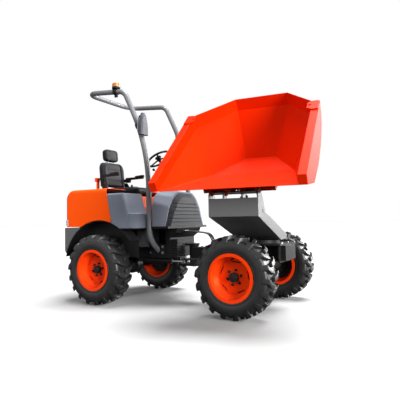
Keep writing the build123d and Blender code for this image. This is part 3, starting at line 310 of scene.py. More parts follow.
nodeFinish = {
    "skip_shell": skipOrange, "skip_side_boxes": skipOrange, "skip_underframe": beamRed,
    "hood": hoodOrange, "seat_box": hoodOrange, "rear_lamps": lampLens,
    "side_pods": panelGrey, "cowl": panelGrey, "console": greyPlastic, "cowl_grille": grilleGrey,
    "roll_hoop": hoopGrey, "mirrors": greyPlastic, "beacon_base": blackPlastic, "beacon_dome": amberLens,
    "pedestal": pedestalGrey, "counterweight": counterGrey, "engine_block": enginePaint,
    "mudguards": blackPlastic, "steering_wheel": blackPlastic, "armrests": blackPlastic,
    "seat_rails": blackPlastic, "seat_cushion": seatVinyl, "seat_back": seatVinyl, "headrest": seatVinyl,
    "tip_rod": brightSteel, "steer_rod": brightSteel, "hinge_pin": zincSteel, "pivot_pin": zincSteel,
}
for name, piece in nodes.items():
    finish = nodeFinish.get(name, chassisBlack)
    if name.endswith("_rim"):
        finish = rimOrange
    if name.endswith("_tyre"):
        finish = tyreRubber
    piece.data.materials.clear()
    piece.data.materials.append(finish)
print("finishes on", len(nodes), "nodes")


def finishMesh(bm, name, finish, body):
    # a bmesh in the row frame becomes a piece that rides on a body
    bmesh.ops.recalc_face_normals(bm, faces=bm.faces[:])
    mesh = bpy.data.meshes.new(name)
    bm.to_mesh(mesh)
    bm.free()
    mesh.materials.append(finish)
    piece = bpy.data.objects.new(name, mesh)
    scene.collection.objects.link(piece)
    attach(piece, body)
    return piece


def sharpen(piece, degrees=32.0):
    # shades a piece smooth except across edges sharper than this
    mesh = piece.data
    mesh.shade_smooth()
    mesh.set_sharp_from_angle(angle=math.radians(degrees))


def sharpPiece(bm, name, finish, body, degrees=32.0):
    # a piece that rides on a body, smooth except across its edges
    piece = finishMesh(bm, name, finish, body)
    sharpen(piece, degrees)
    return piece


def addBlock(bm, centre, size, bevel=0.0, segments=2, turn=None):
    # a box, its edges rounded, turned about its own centre
    place = Matrix.Translation(centre) @ (turn or Matrix.Identity(4)) @ Matrix.Diagonal((*size, 1.0))
    made = bmesh.ops.create_cube(bm, size=1.0, matrix=place)
    if bevel:
        edges = list({e for v in made["verts"] for e in v.link_edges})
        bmesh.ops.bevel(bm, geom=edges, offset=bevel, segments=segments, profile=0.5, affect="EDGES",
                        clamp_overlap=True, material=-1)


def aim(point, direction):
    # a matrix whose Z axis lies along direction
    turn = Vector(direction).normalized().to_track_quat("Z", "Y").to_matrix().to_4x4()
    return Matrix.Translation(point) @ turn


def addTurned(bm, profile, place, steps=48):
    # profile is (radius, height) from bottom to top, spun about the Z axis of place
    verts = [bm.verts.new((r, 0.0, z)) for r, z in profile]
    edges = [bm.edges.new(pair) for pair in zip(verts, verts[1:])]
    spun = bmesh.ops.spin(bm, geom=verts + edges, cent=(0, 0, 0), axis=(0, 0, 1), angle=math.tau,
                          steps=steps, use_merge=True)
    found = set(verts)
    for item in spun["geom_last"]:
        found.update([item] if isinstance(item, bmesh.types.BMVert) else item.verts)
    seen, queue = set(), list(found)
    while queue:
        vert = queue.pop()
        if vert in seen or not vert.is_valid:
            continue
        seen.add(vert)
        queue += [e.other_vert(vert) for e in vert.link_edges]
    bmesh.ops.remove_doubles(bm, verts=list(seen), dist=1e-6)
    bmesh.ops.transform(bm, matrix=place, verts=[v for v in seen if v.is_valid])


def addHexBolt(bm, place, across=0.022, height=0.012, washer=True):
    # a hexagon head on a washer; Z of place points away from the surface
    if washer:
        bmesh.ops.create_cone(bm, cap_ends=True, segments=24, radius1=across * 0.78, radius2=across * 0.78,
                              depth=0.003, matrix=place @ Matrix.Translation((0, 0, 0.0015)))
    raised = Matrix.Translation((0, 0, 0.003 + height / 2))
    head = bmesh.ops.create_cone(bm, cap_ends=True, segments=6, radius1=across * 0.577,
                                 radius2=across * 0.577, depth=height, matrix=place @ raised)
    rim = [e for v in head["verts"] for e in v.link_edges]
    bmesh.ops.bevel(bm, geom=list(set(rim)), offset=across * 0.05, segments=2, profile=0.5, affect="EDGES",
                    material=-1)


def smoothLine(points, steps):
    # points joined by a smooth curve through them, in tuples of any length
    pts = [Vector(p) for p in points]
    line = []
    for i in range(len(pts) - 1):
        before, after = pts[max(i - 1, 0)], pts[min(i + 2, len(pts) - 1)]
        for k in range(steps):
            t = k / steps
            a, b = pts[i], pts[i + 1]
            line.append(0.5 * (2 * a + (b - before) * t + (2 * before - 5 * a + 4 * b - after) * t ** 2
                               + (3 * a - before - 3 * b + after) * t ** 3))
    return line + [pts[-1]]


# tyres: a smooth carcass with two rows of curved bars
tyreLook = {"steps": 96, "barsPerSide": 18, "barRound": 0.0045, "sunk": 0.004, "bead": 0.1975,
            "treadRadius": 0.3450, "crownRadius": 0.3785, "shoulderDrop": 0.008, "bow": 0.010, "draft": 0.16,
            "guardRings": (0.214, 0.236), "guardOut": 0.1155, "guardLean": 0.25}
barPlan = {"lead": 0.003, "sweep": -0.055, "innerHalf": 0.0185, "outerHalf": 0.0215, "pastMiddle": 0.007,
           "endFrom": 0.80, "endIn": 0.022, "endDown": 0.030, "bendRadius": 0.36}


def carcassProfile(half, bead):
    # (distance from the middle, radius) from the outer bead over the tread to the inner bead
    side = [(0.104, bead), (0.111, bead + 0.006), (0.117, 0.228), (0.1235, 0.252), (half - 0.002, 0.278),
            (0.1235, 0.304), (0.118, 0.326), (0.108, 0.340), (0.092, 0.3455), (0.060, 0.3480), (0.0, 0.3490)]
    outer = smoothLine(side, 3)
    return outer + [Vector((-v.x, v.y)) for v in reversed(outer[:-1])]


def addBar(bm, look, half):
    # one bar of the outer row, curved, widest at its root, its outer end run down over the shoulder
    made = bmesh.ops.create_cube(bm, size=1.0)
    verts = made["verts"]
    edges = list({e for v in verts for e in v.link_edges})
    cross = [e for e in edges if abs(e.verts[0].co.y - e.verts[1].co.y) > 0.5]
    bmesh.ops.subdivide_edges(bm, edges=cross, cuts=7, use_grid_fill=True)
    tall = [e for e in bm.edges if abs(e.verts[0].co.z - e.verts[1].co.z) > 0.9]
    bmesh.ops.subdivide_edges(bm, edges=tall, cuts=1, use_grid_fill=True)
    corners = [e for e in bm.edges if len(e.link_faces) == 2 and e.calc_face_angle(0.0) > 0.8
               and max(v.co.z for v in e.verts) > -0.4]
    inner, outer = barPlan["innerHalf"], barPlan["outerHalf"]
    for vert in bm.verts:
        s, t, h = vert.co.x, vert.co.y + 0.5, vert.co.z + 0.5
        centre = barPlan["lead"] + barPlan["sweep"] * t + look["bow"] * math.sin(math.pi * t)
        width = (inner + (outer - inner) * t) * (1.0 + look["draft"] * (1.0 - h))
        ending = max(0.0, t - barPlan["endFrom"]) / (1.0 - barPlan["endFrom"])
        across = -barPlan["pastMiddle"] + (half + barPlan["pastMiddle"]) * t - barPlan["endIn"] * h * ending
        root = look["treadRadius"] - look["sunk"] - barPlan["endDown"] * ending
        crown = look["crownRadius"] - look["shoulderDrop"] * t ** 3
        radius = root + (crown - root) * h
        turn = (centre + 2.0 * s * width) / barPlan["bendRadius"]
        vert.co = (radius * math.sin(turn), across, radius * math.cos(turn))
    bmesh.ops.bevel(bm, geom=corners, offset=look["barRound"], segments=3, profile=0.5, affect="EDGES",
                    clamp_overlap=True, material=-1)


def makeTyre(node, body, outward):
    low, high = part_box(node)
    centre = (low + high) / 2
    half = (high.y - low.y) / 2
    look = tyreLook
    bm = bmesh.new()
    addBar(bm, look, half)
    bar = bm.verts[:] + bm.edges[:] + bm.faces[:]
    other = bmesh.ops.duplicate(bm, geom=bar)["geom"]
    otherVerts = [g for g in other if isinstance(g, bmesh.types.BMVert)]
    bmesh.ops.scale(bm, vec=(1, -1, 1), verts=otherVerts)
    bmesh.ops.reverse_faces(bm, faces=[g for g in other if isinstance(g, bmesh.types.BMFace)])
    pitch = math.tau / look["barsPerSide"]
    bmesh.ops.rotate(bm, cent=(0, 0, 0), matrix=Matrix.Rotation(pitch / 2, 3, "Y"), verts=otherVerts)
    bmesh.ops.spin(bm, geom=bm.verts[:] + bm.edges[:] + bm.faces[:], cent=(0, 0, 0), axis=(0, 1, 0),
                   angle=math.tau - pitch, steps=look["barsPerSide"] - 1, use_duplicate=True)
    sideways = Matrix.Rotation(-math.pi / 2, 4, "X")
    profile = [(v.y, v.x) for v in carcassProfile(half, look["bead"])]
    addTurned(bm, profile, sideways, look["steps"])
    for ring in look["guardRings"]:
        out = look["guardOut"] + (ring - look["guardRings"][0]) * look["guardLean"]
        for side in (-1, 1):
            band = [(ring - 0.004, side * (out - 0.004)), (ring - 0.002, side * (out + 0.003)),
                    (ring + 0.003, side * (out + 0.003)), (ring + 0.005, side * (out - 0.003))]
            addTurned(bm, band, sideways, look["steps"])
    if outward < 0:
        bmesh.ops.scale(bm, vec=(1, -1, 1), verts=bm.verts)
    bmesh.ops.translate(bm, vec=centre, verts=bm.verts)
    piece = sharpPiece(bm, node + "Rubber", tyreRubber, body, 38.0)
    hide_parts(node)


# wheels: nuts, hub caps and valves on the rims
wheelLook = {"nuts": 6, "nutRing": 0.068, "nutSize": (0.019, 0.010), "nutOut": 0.002, "studOut": 0.017,
             "studTall": 0.008, "studEnds": (0.0055, 0.0048), "discFace": 0.0245, "noseEnd": 0.0505,
             "drum": (0.098, 0.153, 0.008, -0.030), "valve": (0.060, 0.166), "valveLean": -0.45}


def makeWheelHardware(corner, body, outward):
    low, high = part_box(corner + "_rim")
    centre = (low + high) / 2
    look = wheelLook
    face = centre + Vector((0, outward * look["discFace"], 0))
    bm = bmesh.new()
    for i in range(look["nuts"]):
        turn = math.tau * (i + 0.25) / look["nuts"]
        spot = face + Vector((math.sin(turn), 0, math.cos(turn))) * look["nutRing"]
        place = aim(spot, (0, outward, 0))
        addTurned(bm, [(0.0135, 0.0), (0.0125, 0.003), (0.008, 0.0035)], place, 20)
        addHexBolt(bm, place @ Matrix.Translation((0, 0, look["nutOut"])), *look["nutSize"], washer=False)
        root, end = look["studEnds"]
        stud = place @ Matrix.Translation((0, 0, look["studOut"]))
        bmesh.ops.create_cone(bm, cap_ends=True, segments=16, radius1=root, radius2=end,
                              depth=look["studTall"], matrix=stud)
    sharpPiece(bm, corner + "WheelNuts", chassisBlack, body)
    bm = bmesh.new()
    cap = [(0.0395, -0.004), (0.0395, 0.002), (0.036, 0.006), (0.020, 0.0075), (0.0195, 0.0105),
           (0.0, 0.0115)]
    addTurned(bm, cap, aim(centre + Vector((0, outward * look["noseEnd"], 0)), (0, outward, 0)), 40)
    sharpPiece(bm, corner + "HubCap", chassisBlack, body)
    bm = bmesh.new()
    inner, outer, near, far = look["drum"]
    ring = [(inner, near), (outer - 0.004, near), (outer, near - 0.004), (outer, far), (inner, far),
            (inner, near)]
    addTurned(bm, ring, aim(centre, (0, outward, 0)), 56)
    sharpPiece(bm, corner + "BrakeDrum", chassisBlack, body)
    bm = bmesh.new()
    out, up = look["valve"]
    stem = [(0.0075, -0.006), (0.007, 0.004), (0.0045, 0.009), (0.0045, 0.026), (0.0055, 0.027),
            (0.0055, 0.036), (0.0, 0.037)]
    root = centre + Vector((0.0, outward * out, up))
    addTurned(bm, stem, aim(root, (0, outward, look["valveLean"])), 16)
    sharpPiece(bm, corner + "Valve", blackPlastic, body)


for end in ("front", "rear"):
    for side, outward in (("left", 1), ("right", -1)):
        corner = f"{end}_{side}"
        makeTyre(corner + "_tyre", corner + "_wheel", outward)
        makeWheelHardware(corner, corner + "_wheel", outward)
print("wheels dressed")


# seat: foam pads that swell between their seams, and a moulded shell behind them
padLook = {"cuts": 26, "voxel": 0.006, "pressure": 4.0, "frames": 20, "seamHalf": 0.0045, "seamDeep": 0.002,
           "pulledOver": 0.0063, "heldOver": 0.004, "smoothing": 3, "bolsterShare": 0.8, "draftShare": 0.8,
           "draftOver": 0.03}
# half sizes and places are in metres; across, along and out are the pad's own axes
backLook = {"half": (0.207, 0.153, 0.027), "round": 0.024, "cap": 0.010, "corner": 0.095,
            "bolsterFrom": 0.120, "bolster": 0.011, "seamAcross": 0.126, "channels": (-0.075, -0.010, 0.055),
            "lean": (-0.030, 0.0, 0.318), "shellAhead": 0.015, "ahead": 0.010}
restLook = {"half": (0.123, 0.079, 0.034), "round": 0.028, "cap": 0.009, "corner": 0.050,
            "bolsterFrom": 0.070, "bolster": 0.004, "seamAcross": 0.074, "channels": (),
            "lean": (-0.075, 0.0, 0.997), "ahead": 0.010, "below": 0.085}
cushionLook = {"half": (0.198, 0.219, 0.042), "round": 0.034, "cap": 0.011, "corner": 0.070,
               "bolsterFrom": 0.125, "bolster": 0.008, "seamAcross": 0.130,
               "channels": (-0.120, -0.035, 0.050)}


def axesAt(centre, along, out):
    # a matrix from a pad's own axes (across, along, out) to the row frame
    along, out = Vector(along).normalized(), Vector(out).normalized()
    across = along.cross(out)
    return Matrix.Translation(centre) @ Matrix((across, along, out)).transposed().to_4x4()


def roundedBox(half, radius, cuts):
    # a finely divided box on the origin, its edges rounded
    bm = bmesh.new()
    bmesh.ops.create_cube(bm, size=2.0)
    bmesh.ops.subdivide_edges(bm, edges=bm.edges[:], cuts=cuts, use_grid_fill=True)
    for vert in bm.verts:
        corner = Vector([math.sin(c * math.pi / 2) * h for c, h in zip(vert.co, half)])
        core = Vector([max(radius - h, min(h - radius, c)) for c, h in zip(corner, half)])
        vert.co = core + (corner - core).normalized() * radius
    return bm


def padShape(point, look, plan):
    # the bolsters stand out, the outline's corners are cut round and the form tapers along its length
    across, along, out = point
    halfAcross, halfAlong, halfOut = look["half"]
    front = (out / halfOut + 1) / 2
    rise = max(0.0, min(1.0, (abs(across) - look["bolsterFrom"]) / (halfAcross - look["bolsterFrom"])))
    swell = min(1.0, rise / padLook["bolsterShare"])
    out += look["bolster"] * front * math.sin(math.pi * swell) ** 2
    ends = [1] if plan == "end" else [1, -1]
    for end in ends:
        past = end * along - (halfAlong - look["corner"])
        if past > 0:
            reach = math.sqrt(max(0.0, look["corner"] ** 2 - min(past, look["corner"] * 0.985) ** 2))
            across *= (halfAcross - look["corner"] + reach) / halfAcross
    return Vector((across, along, out))


def seamDistance(point, look):
    # metres from the nearest seam on the sitting face
    across, along, out = point
    if out < look["half"][2] * 0.35:
        return 1.0
    near = abs(abs(across) - look["seamAcross"])
    for channel in look["channels"]:
        if abs(across) < look["seamAcross"]:
            near = min(near, abs(along - channel))
    return near


def makePad(name, look, place, plan):
    # the remeshed form before it swells, with its held points in a group
    bm = roundedBox(look["half"], look["round"], padLook["cuts"])
    piece = finishMesh(bm, name, seatVinyl, "rear_chassis")
    fine = piece.modifiers.new("fine", "REMESH")
    fine.mode = "VOXEL"
    fine.voxel_size = padLook["voxel"]
    mesh = bpy.data.meshes.new_from_object(piece.evaluated_get(bpy.context.evaluated_depsgraph_get()))
    piece.modifiers.clear()
    piece.data = mesh
    held = piece.vertex_groups.new(name="held")
    for vert in mesh.vertices:
        behind = vert.co.z < padLook["heldOver"] - look["half"][2]
        if behind or seamDistance(vert.co, look) < padLook["seamHalf"]:
            held.add([vert.index], 1.0, "REPLACE")
    free = [seamDistance(v.co, look) for v in mesh.vertices]
    for vert in mesh.vertices:
        vert.co = place @ padShape(vert.co, look, plan)
    mesh.materials.clear()
    mesh.materials.append(seatVinyl)
    return piece, look, free


def swellPads(pads):
    # air pressure inside, no gravity; no point moves further than the pad's cap
    for piece, look, free in pads:
        cloth = piece.modifiers.new("swell", "CLOTH")
        cloth.settings.use_pressure = True
        cloth.settings.uniform_pressure_force = padLook["pressure"]
        cloth.settings.effector_weights.gravity = 0.0
        cloth.settings.vertex_group_mass = "held"
        cloth.point_cache.frame_end = padLook["frames"]
    for step in range(1, padLook["frames"] + 1):
        scene.frame_set(step)
    for piece, look, free in pads:
        swollen = bpy.data.meshes.new_from_object(piece.evaluated_get(bpy.context.evaluated_depsgraph_get()))
        piece.modifiers.clear()
        for vert, soft in zip(piece.data.vertices, swollen.vertices):
            move = soft.co - vert.co
            if move.length > look["cap"]:
                move *= look["cap"] / move.length
            vert.co += move
        bpy.data.meshes.remove(swollen)
    scene.frame_set(1)


def closePad(piece, look, free, node):
    # smoothed, its seams pulled in a little further, and divided once
    bm = bmesh.new()
    bm.from_mesh(piece.data)
    for turn in range(padLook["smoothing"]):
        bmesh.ops.smooth_vert(bm, verts=bm.verts[:], factor=0.5, use_axis_x=True, use_axis_y=True,
                              use_axis_z=True)
    bm.normal_update()
    for vert, room in zip(bm.verts, free):
        if room < padLook["pulledOver"]:
            vert.co -= vert.normal * padLook["seamDeep"] * (1.0 - room / padLook["pulledOver"])
    bmesh.ops.recalc_face_normals(bm, faces=bm.faces[:])
    bm.to_mesh(piece.data)
    bm.free()
    piece.vertex_groups.clear()
    piece.data.shade_smooth()
    finer = piece.modifiers.new("finer", "SUBSURF")
    finer.levels = finer.render_levels = 1
    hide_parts(node)


backLow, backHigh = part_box("seat_back")
cushionLow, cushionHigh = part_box("seat_cushion")
restLow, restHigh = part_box("headrest")
middle = (backLow.y + backHigh.y) / 2
backLean = Vector(backLook["lean"]).normalized()
backOut = Vector((backLean.z, 0.0, -backLean.x))
shellMiddle = Vector((backLow.x + backLook["shellAhead"], middle, (backLow.z + backHigh.z) / 2))
backPlace = axesAt(shellMiddle + backOut * (backLook["ahead"] + backLook["half"][2]), backLean, backOut)
restLean = Vector(restLook["lean"])
restOut = Vector((restLean.z, 0.0, -restLean.x))
restX = restLow.x + restLook["ahead"] + restLook["half"][2]
restMiddle = Vector((restX, middle, restHigh.z - restLook["below"]))
restPlace = axesAt(restMiddle, restLean, restOut)
cushionMiddle = Vector(((cushionLow.x + cushionHigh.x) / 2, middle, cushionLow.z + cushionLook["half"][2]))
cushionPlace = axesAt(cushionMiddle, (1, 0, 0), (0, 0, 1))

pads = [makePad("seatBackPad", backLook, backPlace, "end"),
        makePad("headrestPad", restLook, restPlace, "both"),
        makePad("seatCushionPad", cushionLook, cushionPlace, "end")]
swellPads(pads)
for (piece, look, free), node in zip(pads, ("seat_back", "headrest", "seat_cushion")):
    closePad(piece, look, free, node)
print("seat pads swollen")

shellLook = {"half": (0.209, 0.155, 0.006), "round": 0.0055, "rim": 0.012, "rimFrom": 0.150,
             "rimOver": 0.060, "behind": 0.007, "postRadius": 0.006, "postApart": 0.060, "postSunk": 0.03}


def makeSeatShell(look):
    bm = roundedBox(look["half"], look["round"], 18)
    outline = dict(backLook, half=look["half"], bolster=0.0)
    for vert in bm.verts:
        vert.co = padShape(vert.co, outline, "end")
        wrap = max(0.0, (abs(vert.co.x) - look["rimFrom"]) / look["rimOver"])
        vert.co.z += look["rim"] * wrap ** 2
    place = axesAt(shellMiddle + backOut * look["behind"], backLean, backOut)
    bmesh.ops.transform(bm, matrix=place, verts=bm.verts)
    sharpPiece(bm, "seatShell", greyPlastic, "rear_chassis", 40.0)
    bm = bmesh.new()
    for side in (-1, 1):
        out, r = side * look["postApart"], look["postRadius"]
        foot = backPlace @ Vector((out, backLook["half"][1] - look["postSunk"], 0.0))
        head = restPlace @ Vector((out, look["postSunk"] - restLook["half"][1], 0.0))
        tall = (head - foot).length
        addTurned(bm, [(0.0, 0.0), (r, 0.0), (r, tall), (0.0, tall)], aim(foot, head - foot), 20)
    sharpPiece(bm, "headrestPosts", brightSteel, "rear_chassis")


makeSeatShell(shellLook)

beltLook = {"buckle": (0.030, 0.016, 0.070), "blade": (0.012, 0.006, 0.075), "button": (0.018, 0.011, 0.006),
            "retractor": (0.062, 0.030, 0.066), "lean": -18.0, "bucklePlace": (0.045, 0.242, 0.015),
            "bladePlace": (0.022, 0.0, -0.062), "buttonPlace": (-0.0105, 0.0, 0.034),
            "retractorPlace": (0.035, -0.246, -0.020)}


def makeBelt(look):
    # a retractor on one side of the seat and the buckle with its red button on the other
    lean = Matrix.Rotation(math.radians(look["lean"]), 4, "Y")
    corner = Vector((cushionLow.x, middle, cushionHigh.z))
    buckle = corner + Vector(look["bucklePlace"])
    bm = bmesh.new()
    addBlock(bm, buckle, look["buckle"], 0.005, 3, lean)
    addBlock(bm, buckle + Vector(look["bladePlace"]), look["blade"], 0.002, 2, lean)
    addBlock(bm, corner + Vector(look["retractorPlace"]), look["retractor"], 0.007, 3)
    sharpPiece(bm, "beltFittings", blackPlastic, "rear_chassis")
    bm = bmesh.new()
    addBlock(bm, buckle + Vector(look["buttonPlace"]), look["button"], 0.0015, 2, lean)
    sharpPiece(bm, "beltButton", buttonRed, "rear_chassis")


makeBelt(beltLook)
print("seat made")


def onSurface(node, start, direction):
    # where a line from start first meets a CAD node, turned so that Z leaves the surface
    hit, spot, normal, index = nodes[node].ray_cast(Vector(start), Vector(direction))
    if not hit:
        raise ValueError(f"nothing of {node} lies on the line from {start}")
    return aim(spot, normal)


def placeBolts(name, table, node, body, size):
    # table holds (start, direction) of the lines, size is (across the flats, height)
    bm = bmesh.new()
    for start, direction in table:
        addHexBolt(bm, onSurface(node, start, direction), *size)
    sharpPiece(bm, name, zincSteel, body)


boltLook = {"footBolts": ((-0.502, 0.545), (-0.337, 0.545), (-0.337, 0.612)), "footStart": 0.40,
            "plateBolts": ((0.965, 0.090), (0.995, 0.200)), "pivotBolt": (0.045, 0.045), "above": 0.75,
            "footSize": (0.019, 0.010), "plateSize": (0.019, 0.009), "pivotSize": (0.022, 0.011)}
footTable = [((x, middle + side * boltLook["footStart"], z), (0, -side, 0))
             for side in (-1, 1) for x, z in boltLook["footBolts"]]
placeBolts("hoopFootBolts", footTable, "rear_frame", "rear_chassis", boltLook["footSize"])
plateTable = [((x, middle + side * y, boltLook["above"]), (0, 0, -1))
              for side in (-1, 1) for x, y in boltLook["plateBolts"]]
placeBolts("frontPlateBolts", plateTable, "front_frame", "front_chassis", boltLook["plateSize"])
pivotX, pivotY = boltLook["pivotBolt"]
pivotTable = [((pivotX, middle + side * pivotY, boltLook["above"]), (0, 0, -1)) for side in (-1, 1)]
placeBolts("pivotBolts", pivotTable, "front_frame", "front_chassis", boltLook["pivotSize"])

pinLook = {"radius": 0.0105, "reach": 0.60}


def makePinEnds(look):
    # a turned cap with a grease nipple on each end of the skip's hinge pins
    axis = Vector(joints["tip"]["axis"])
    hinge = Vector(joints["tip"]["pos_m"])
    bm = bmesh.new()
    for side in (-1, 1):
        place = onSurface("hinge_pin", hinge + axis * side * look["reach"], -axis * side)
        r = look["radius"]
        cap = [(r, -0.001), (r, 0.0025), (r - 0.002, 0.004), (0.004, 0.004), (0.004, 0.007), (0.0025, 0.008),
               (0.0025, 0.0105), (0.0, 0.0115)]
        addTurned(bm, cap, place, 24)
    sharpPiece(bm, "hingePinCaps", zincSteel, "turntable")


makePinEnds(pinLook)

portLook = {"places": (0.075, 0.270), "start": 0.10, "radius": 0.012}


def makeCylinderPorts(look):
    # a hexagon fitting with a hose stub on each end of the tipping cylinder
    swing = joints["tip_barrel_swing"]
    along = Vector(joints["tip_rod_slide"]["axis"])
    hinge = Vector(swing["axis"])
    outward = along.cross(hinge).normalized()
    r = look["radius"]
    bm = bmesh.new()
    for length in look["places"]:
        start = Vector(swing["pos_m"]) + along * length + outward * look["start"]
        place = onSurface("tip_barrel", start, -outward)
        nut = [(0.0, -0.002), (r, -0.002), (r, 0.010), (r * 0.75, 0.011), (r * 0.75, 0.018), (0.0, 0.0185)]
        addTurned(bm, nut, place, 6)
        addTurned(bm, [(0.0, 0.010), (r * 0.55, 0.010), (r * 0.55, 0.028), (0.0, 0.0285)], place, 16)
    sharpPiece(bm, "cylinderPorts", zincSteel, "tip_barrel")


makeCylinderPorts(portLook)


def tube(name, points, radius, finish, sides=14, steps=10):
    # a round hose along a smooth curve through points, not yet on a body
    line = smoothLine(points, steps)
    bm = bmesh.new()
    rings = []
    side = None
    for i, spot in enumerate(line):
        ahead = (line[min(i + 1, len(line) - 1)] - line[max(i - 1, 0)]).normalized()
        if side is None:
            side = ahead.orthogonal()
        side = (side - ahead * side.dot(ahead)).normalized()
        over = ahead.cross(side)
        turns = [math.tau * k / sides for k in range(sides)]
        ring = [spot + (side * math.cos(t) + over * math.sin(t)) * radius for t in turns]
        rings.append([bm.verts.new(place) for place in ring])
    for low, high in zip(rings, rings[1:]):
        for k in range(sides):
            bm.faces.new((low[k], low[(k + 1) % sides], high[(k + 1) % sides], high[k]))
    bm.faces.new(rings[0])
    bm.faces.new(rings[-1])
    bmesh.ops.recalc_face_normals(bm, faces=bm.faces[:])
    mesh = bpy.data.meshes.new(name)
    bm.to_mesh(mesh)
    bm.free()
    mesh.shade_smooth()
    mesh.materials.append(finish)
    piece = bpy.data.objects.new(name, mesh)
    scene.collection.objects.link(piece)
    return piece


hoseLook = {"radius": 0.0075, "apart": 0.030, "count": 3, "fitting": 0.011, "sunk": 0.004,
            "start": (0.130, 0.780), "rise": (0.130, 0.775), "riseOut": 0.05, "over": (0.010, 0.150, 0.768),
            "down": (0.130, 0.185, 0.735), "end": (0.190, 0.200), "ahead": 0.30, "above": 0.90,
            "bendIn": 0.02, "bendHigh": 0.70}  # start and rise are (y, z), end is (x, y)


def makeSteerHoses(look):
    # hoses that leave the wall under the cowl, bend over the steering joint and enter the front frame
    wall = onSurface("rear_frame", (look["ahead"], *look["start"]), (-1, 0, 0)).translation
    floor = onSurface("front_frame", (*look["end"], look["above"]), (0, 0, -1)).translation
    path = [Vector((wall.x - look["sunk"], *look["start"])),
            Vector((wall.x + look["riseOut"], *look["rise"])),
            Vector(look["over"]), Vector(look["down"]), Vector((*look["end"], floor.z - look["sunk"]))]
    for i in range(look["count"]):
        line = [p + Vector((0, i * look["apart"], 0)) for p in path]
        hose = tube(f"steerHose{i + 1}", line, look["radius"], tyreRubber)
        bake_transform(hose)
        for end, place, body in (("Rear", aim(line[0], (1, 0, 0)), "rear_chassis"),
                                 ("Front", aim(line[-1], (0, 0, 1)), "front_chassis")):
            bm = bmesh.new()
            r = look["fitting"]
            nut = [(0.0, 0.0), (r, 0.001), (r, 0.012), (r * 0.8, 0.014), (r * 0.8, 0.030), (0.0, 0.031)]
            addTurned(bm, nut, place, 6)
            sharpPiece(bm, f"hoseFitting{end}{i + 1}", zincSteel, body)


makeSteerHoses(hoseLook)
print("fasteners and hoses made")

# mirrors: the glass in each pod
mirrorLook = {"share": 0.80, "thick": 0.002, "round": 0.55, "steps": 64, "proud": 0.0004,
              "facing": -0.8, "outFrom": 0.46}


def bowed(value, power):
    # the value's size raised to a power, its sign kept
    return math.copysign(abs(value) ** power, value)


def makeMirrorGlass(look):
    mesh = nodes["mirrors"].data
    for name, side in (("rightMirrorGlass", -1), ("leftMirrorGlass", 1)):
        back = [f for f in mesh.polygons
                if f.normal.x < look["facing"] and side * (f.center.y - middle) > look["outFrom"]]
        area = sum(f.area for f in back)
        centre = sum((f.center * f.area for f in back), Vector()) / area
        normal = sum((f.normal * f.area for f in back), Vector()).normalized()
        spread = [mesh.vertices[v].co - centre for f in back for v in f.vertices]
        wide, tall = max(abs(v.y) for v in spread), max(abs(v.z) for v in spread)
        bm = bmesh.new()
        steps, power = look["steps"], look["round"]
        turns = [math.tau * k / steps for k in range(steps)]
        outline = [(wide * look["share"] * bowed(math.cos(t), power),
                    tall * look["share"] * bowed(math.sin(t), power)) for t in turns]
        up = Vector((0, 0, 1)) - normal * normal.z
        place = axesAt(centre + normal * look["proud"], up, normal)
        rings = []
        for depth in (0.0, look["thick"]):
            rings.append([bm.verts.new(place @ Vector((x, y, depth))) for x, y in outline])
            bm.faces.new(rings[-1])
        for k in range(steps):
            bm.faces.new((rings[0][k], rings[0][(k + 1) % steps], rings[1][(k + 1) % steps], rings[1][k]))
        sharpPiece(bm, name, mirrorGlass, "rear_chassis")


makeMirrorGlass(mirrorLook)

jointLook = {"clamp": (-0.5343, 0.408, 1.9486), "head": (-0.4119, 0.483, 1.9385), "share": (0.30, 0.62),
             "radius": 0.0125, "half": 0.010, "bolt": (0.010, 0.007)}


def makeMirrorJoints(look):
    # zinc clamp rings with a bolt on each mirror's arm
    bm = bmesh.new()
    r, half = look["radius"], look["half"]
    for side in (-1, 1):
        ends = [Vector((x, middle + side * y, z)) for x, y, z in (look["clamp"], look["head"])]
        along = (ends[1] - ends[0]).normalized()
        for share in look["share"]:
            centre = ends[0].lerp(ends[1], share)
            ring = [(0.0, -half), (r - 0.002, -half), (r, 0.002 - half), (r, half - 0.002),
                    (r - 0.002, half), (0.0, half)]
            addTurned(bm, ring, aim(centre, along), 28)
            top = aim(centre + Vector((0, 0, r - 0.001)), (0, 0, 1))
            addHexBolt(bm, top, *look["bolt"], washer=False)
    sharpPiece(bm, "mirrorJoints", zincSteel, "rear_chassis")


makeMirrorJoints(jointLook)

# arm pads, drive lever, pedals and horn pad
armLook = {"half": (0.021, 0.070, 0.017), "round": 0.015, "back": 0.062, "inward": 0.0155, "rise": 0.004,
           "tilt": 0.06}


def makeArmPads(look):
    low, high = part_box("armrests")
    out = (high.y - low.y) / 2 - look["inward"]
    for name, side in (("rightArmPad", -1), ("leftArmPad", 1)):
        bm = roundedBox(look["half"], look["round"], 10)
        centre = Vector((high.x - look["back"], middle + side * out, high.z + look["rise"]))
        place = axesAt(centre, (1, 0, look["tilt"]), (-look["tilt"], 0, 1))
        bmesh.ops.transform(bm, matrix=place, verts=bm.verts)
        sharpPiece(bm, name, blackPlastic, "rear_chassis", 40.0)


makeArmPads(armLook)

controlLook = {"knob": 0.016, "stalk": 0.0055, "leverRoot": (-0.060, -0.095, -0.10),
               "leverReach": (-0.050, -0.120, 0.075), "pedal": (0.085, 0.060, 0.010),
               "arm": (0.014, 0.014, 0.060), "pedalBack": 0.075, "pedalOut": 0.17, "pedalTilt": -38.0,
               "pedalPlace": (0.020, 0.0, 0.045), "armPlace": (0.045, 0.0, 0.028), "above": 1.2}


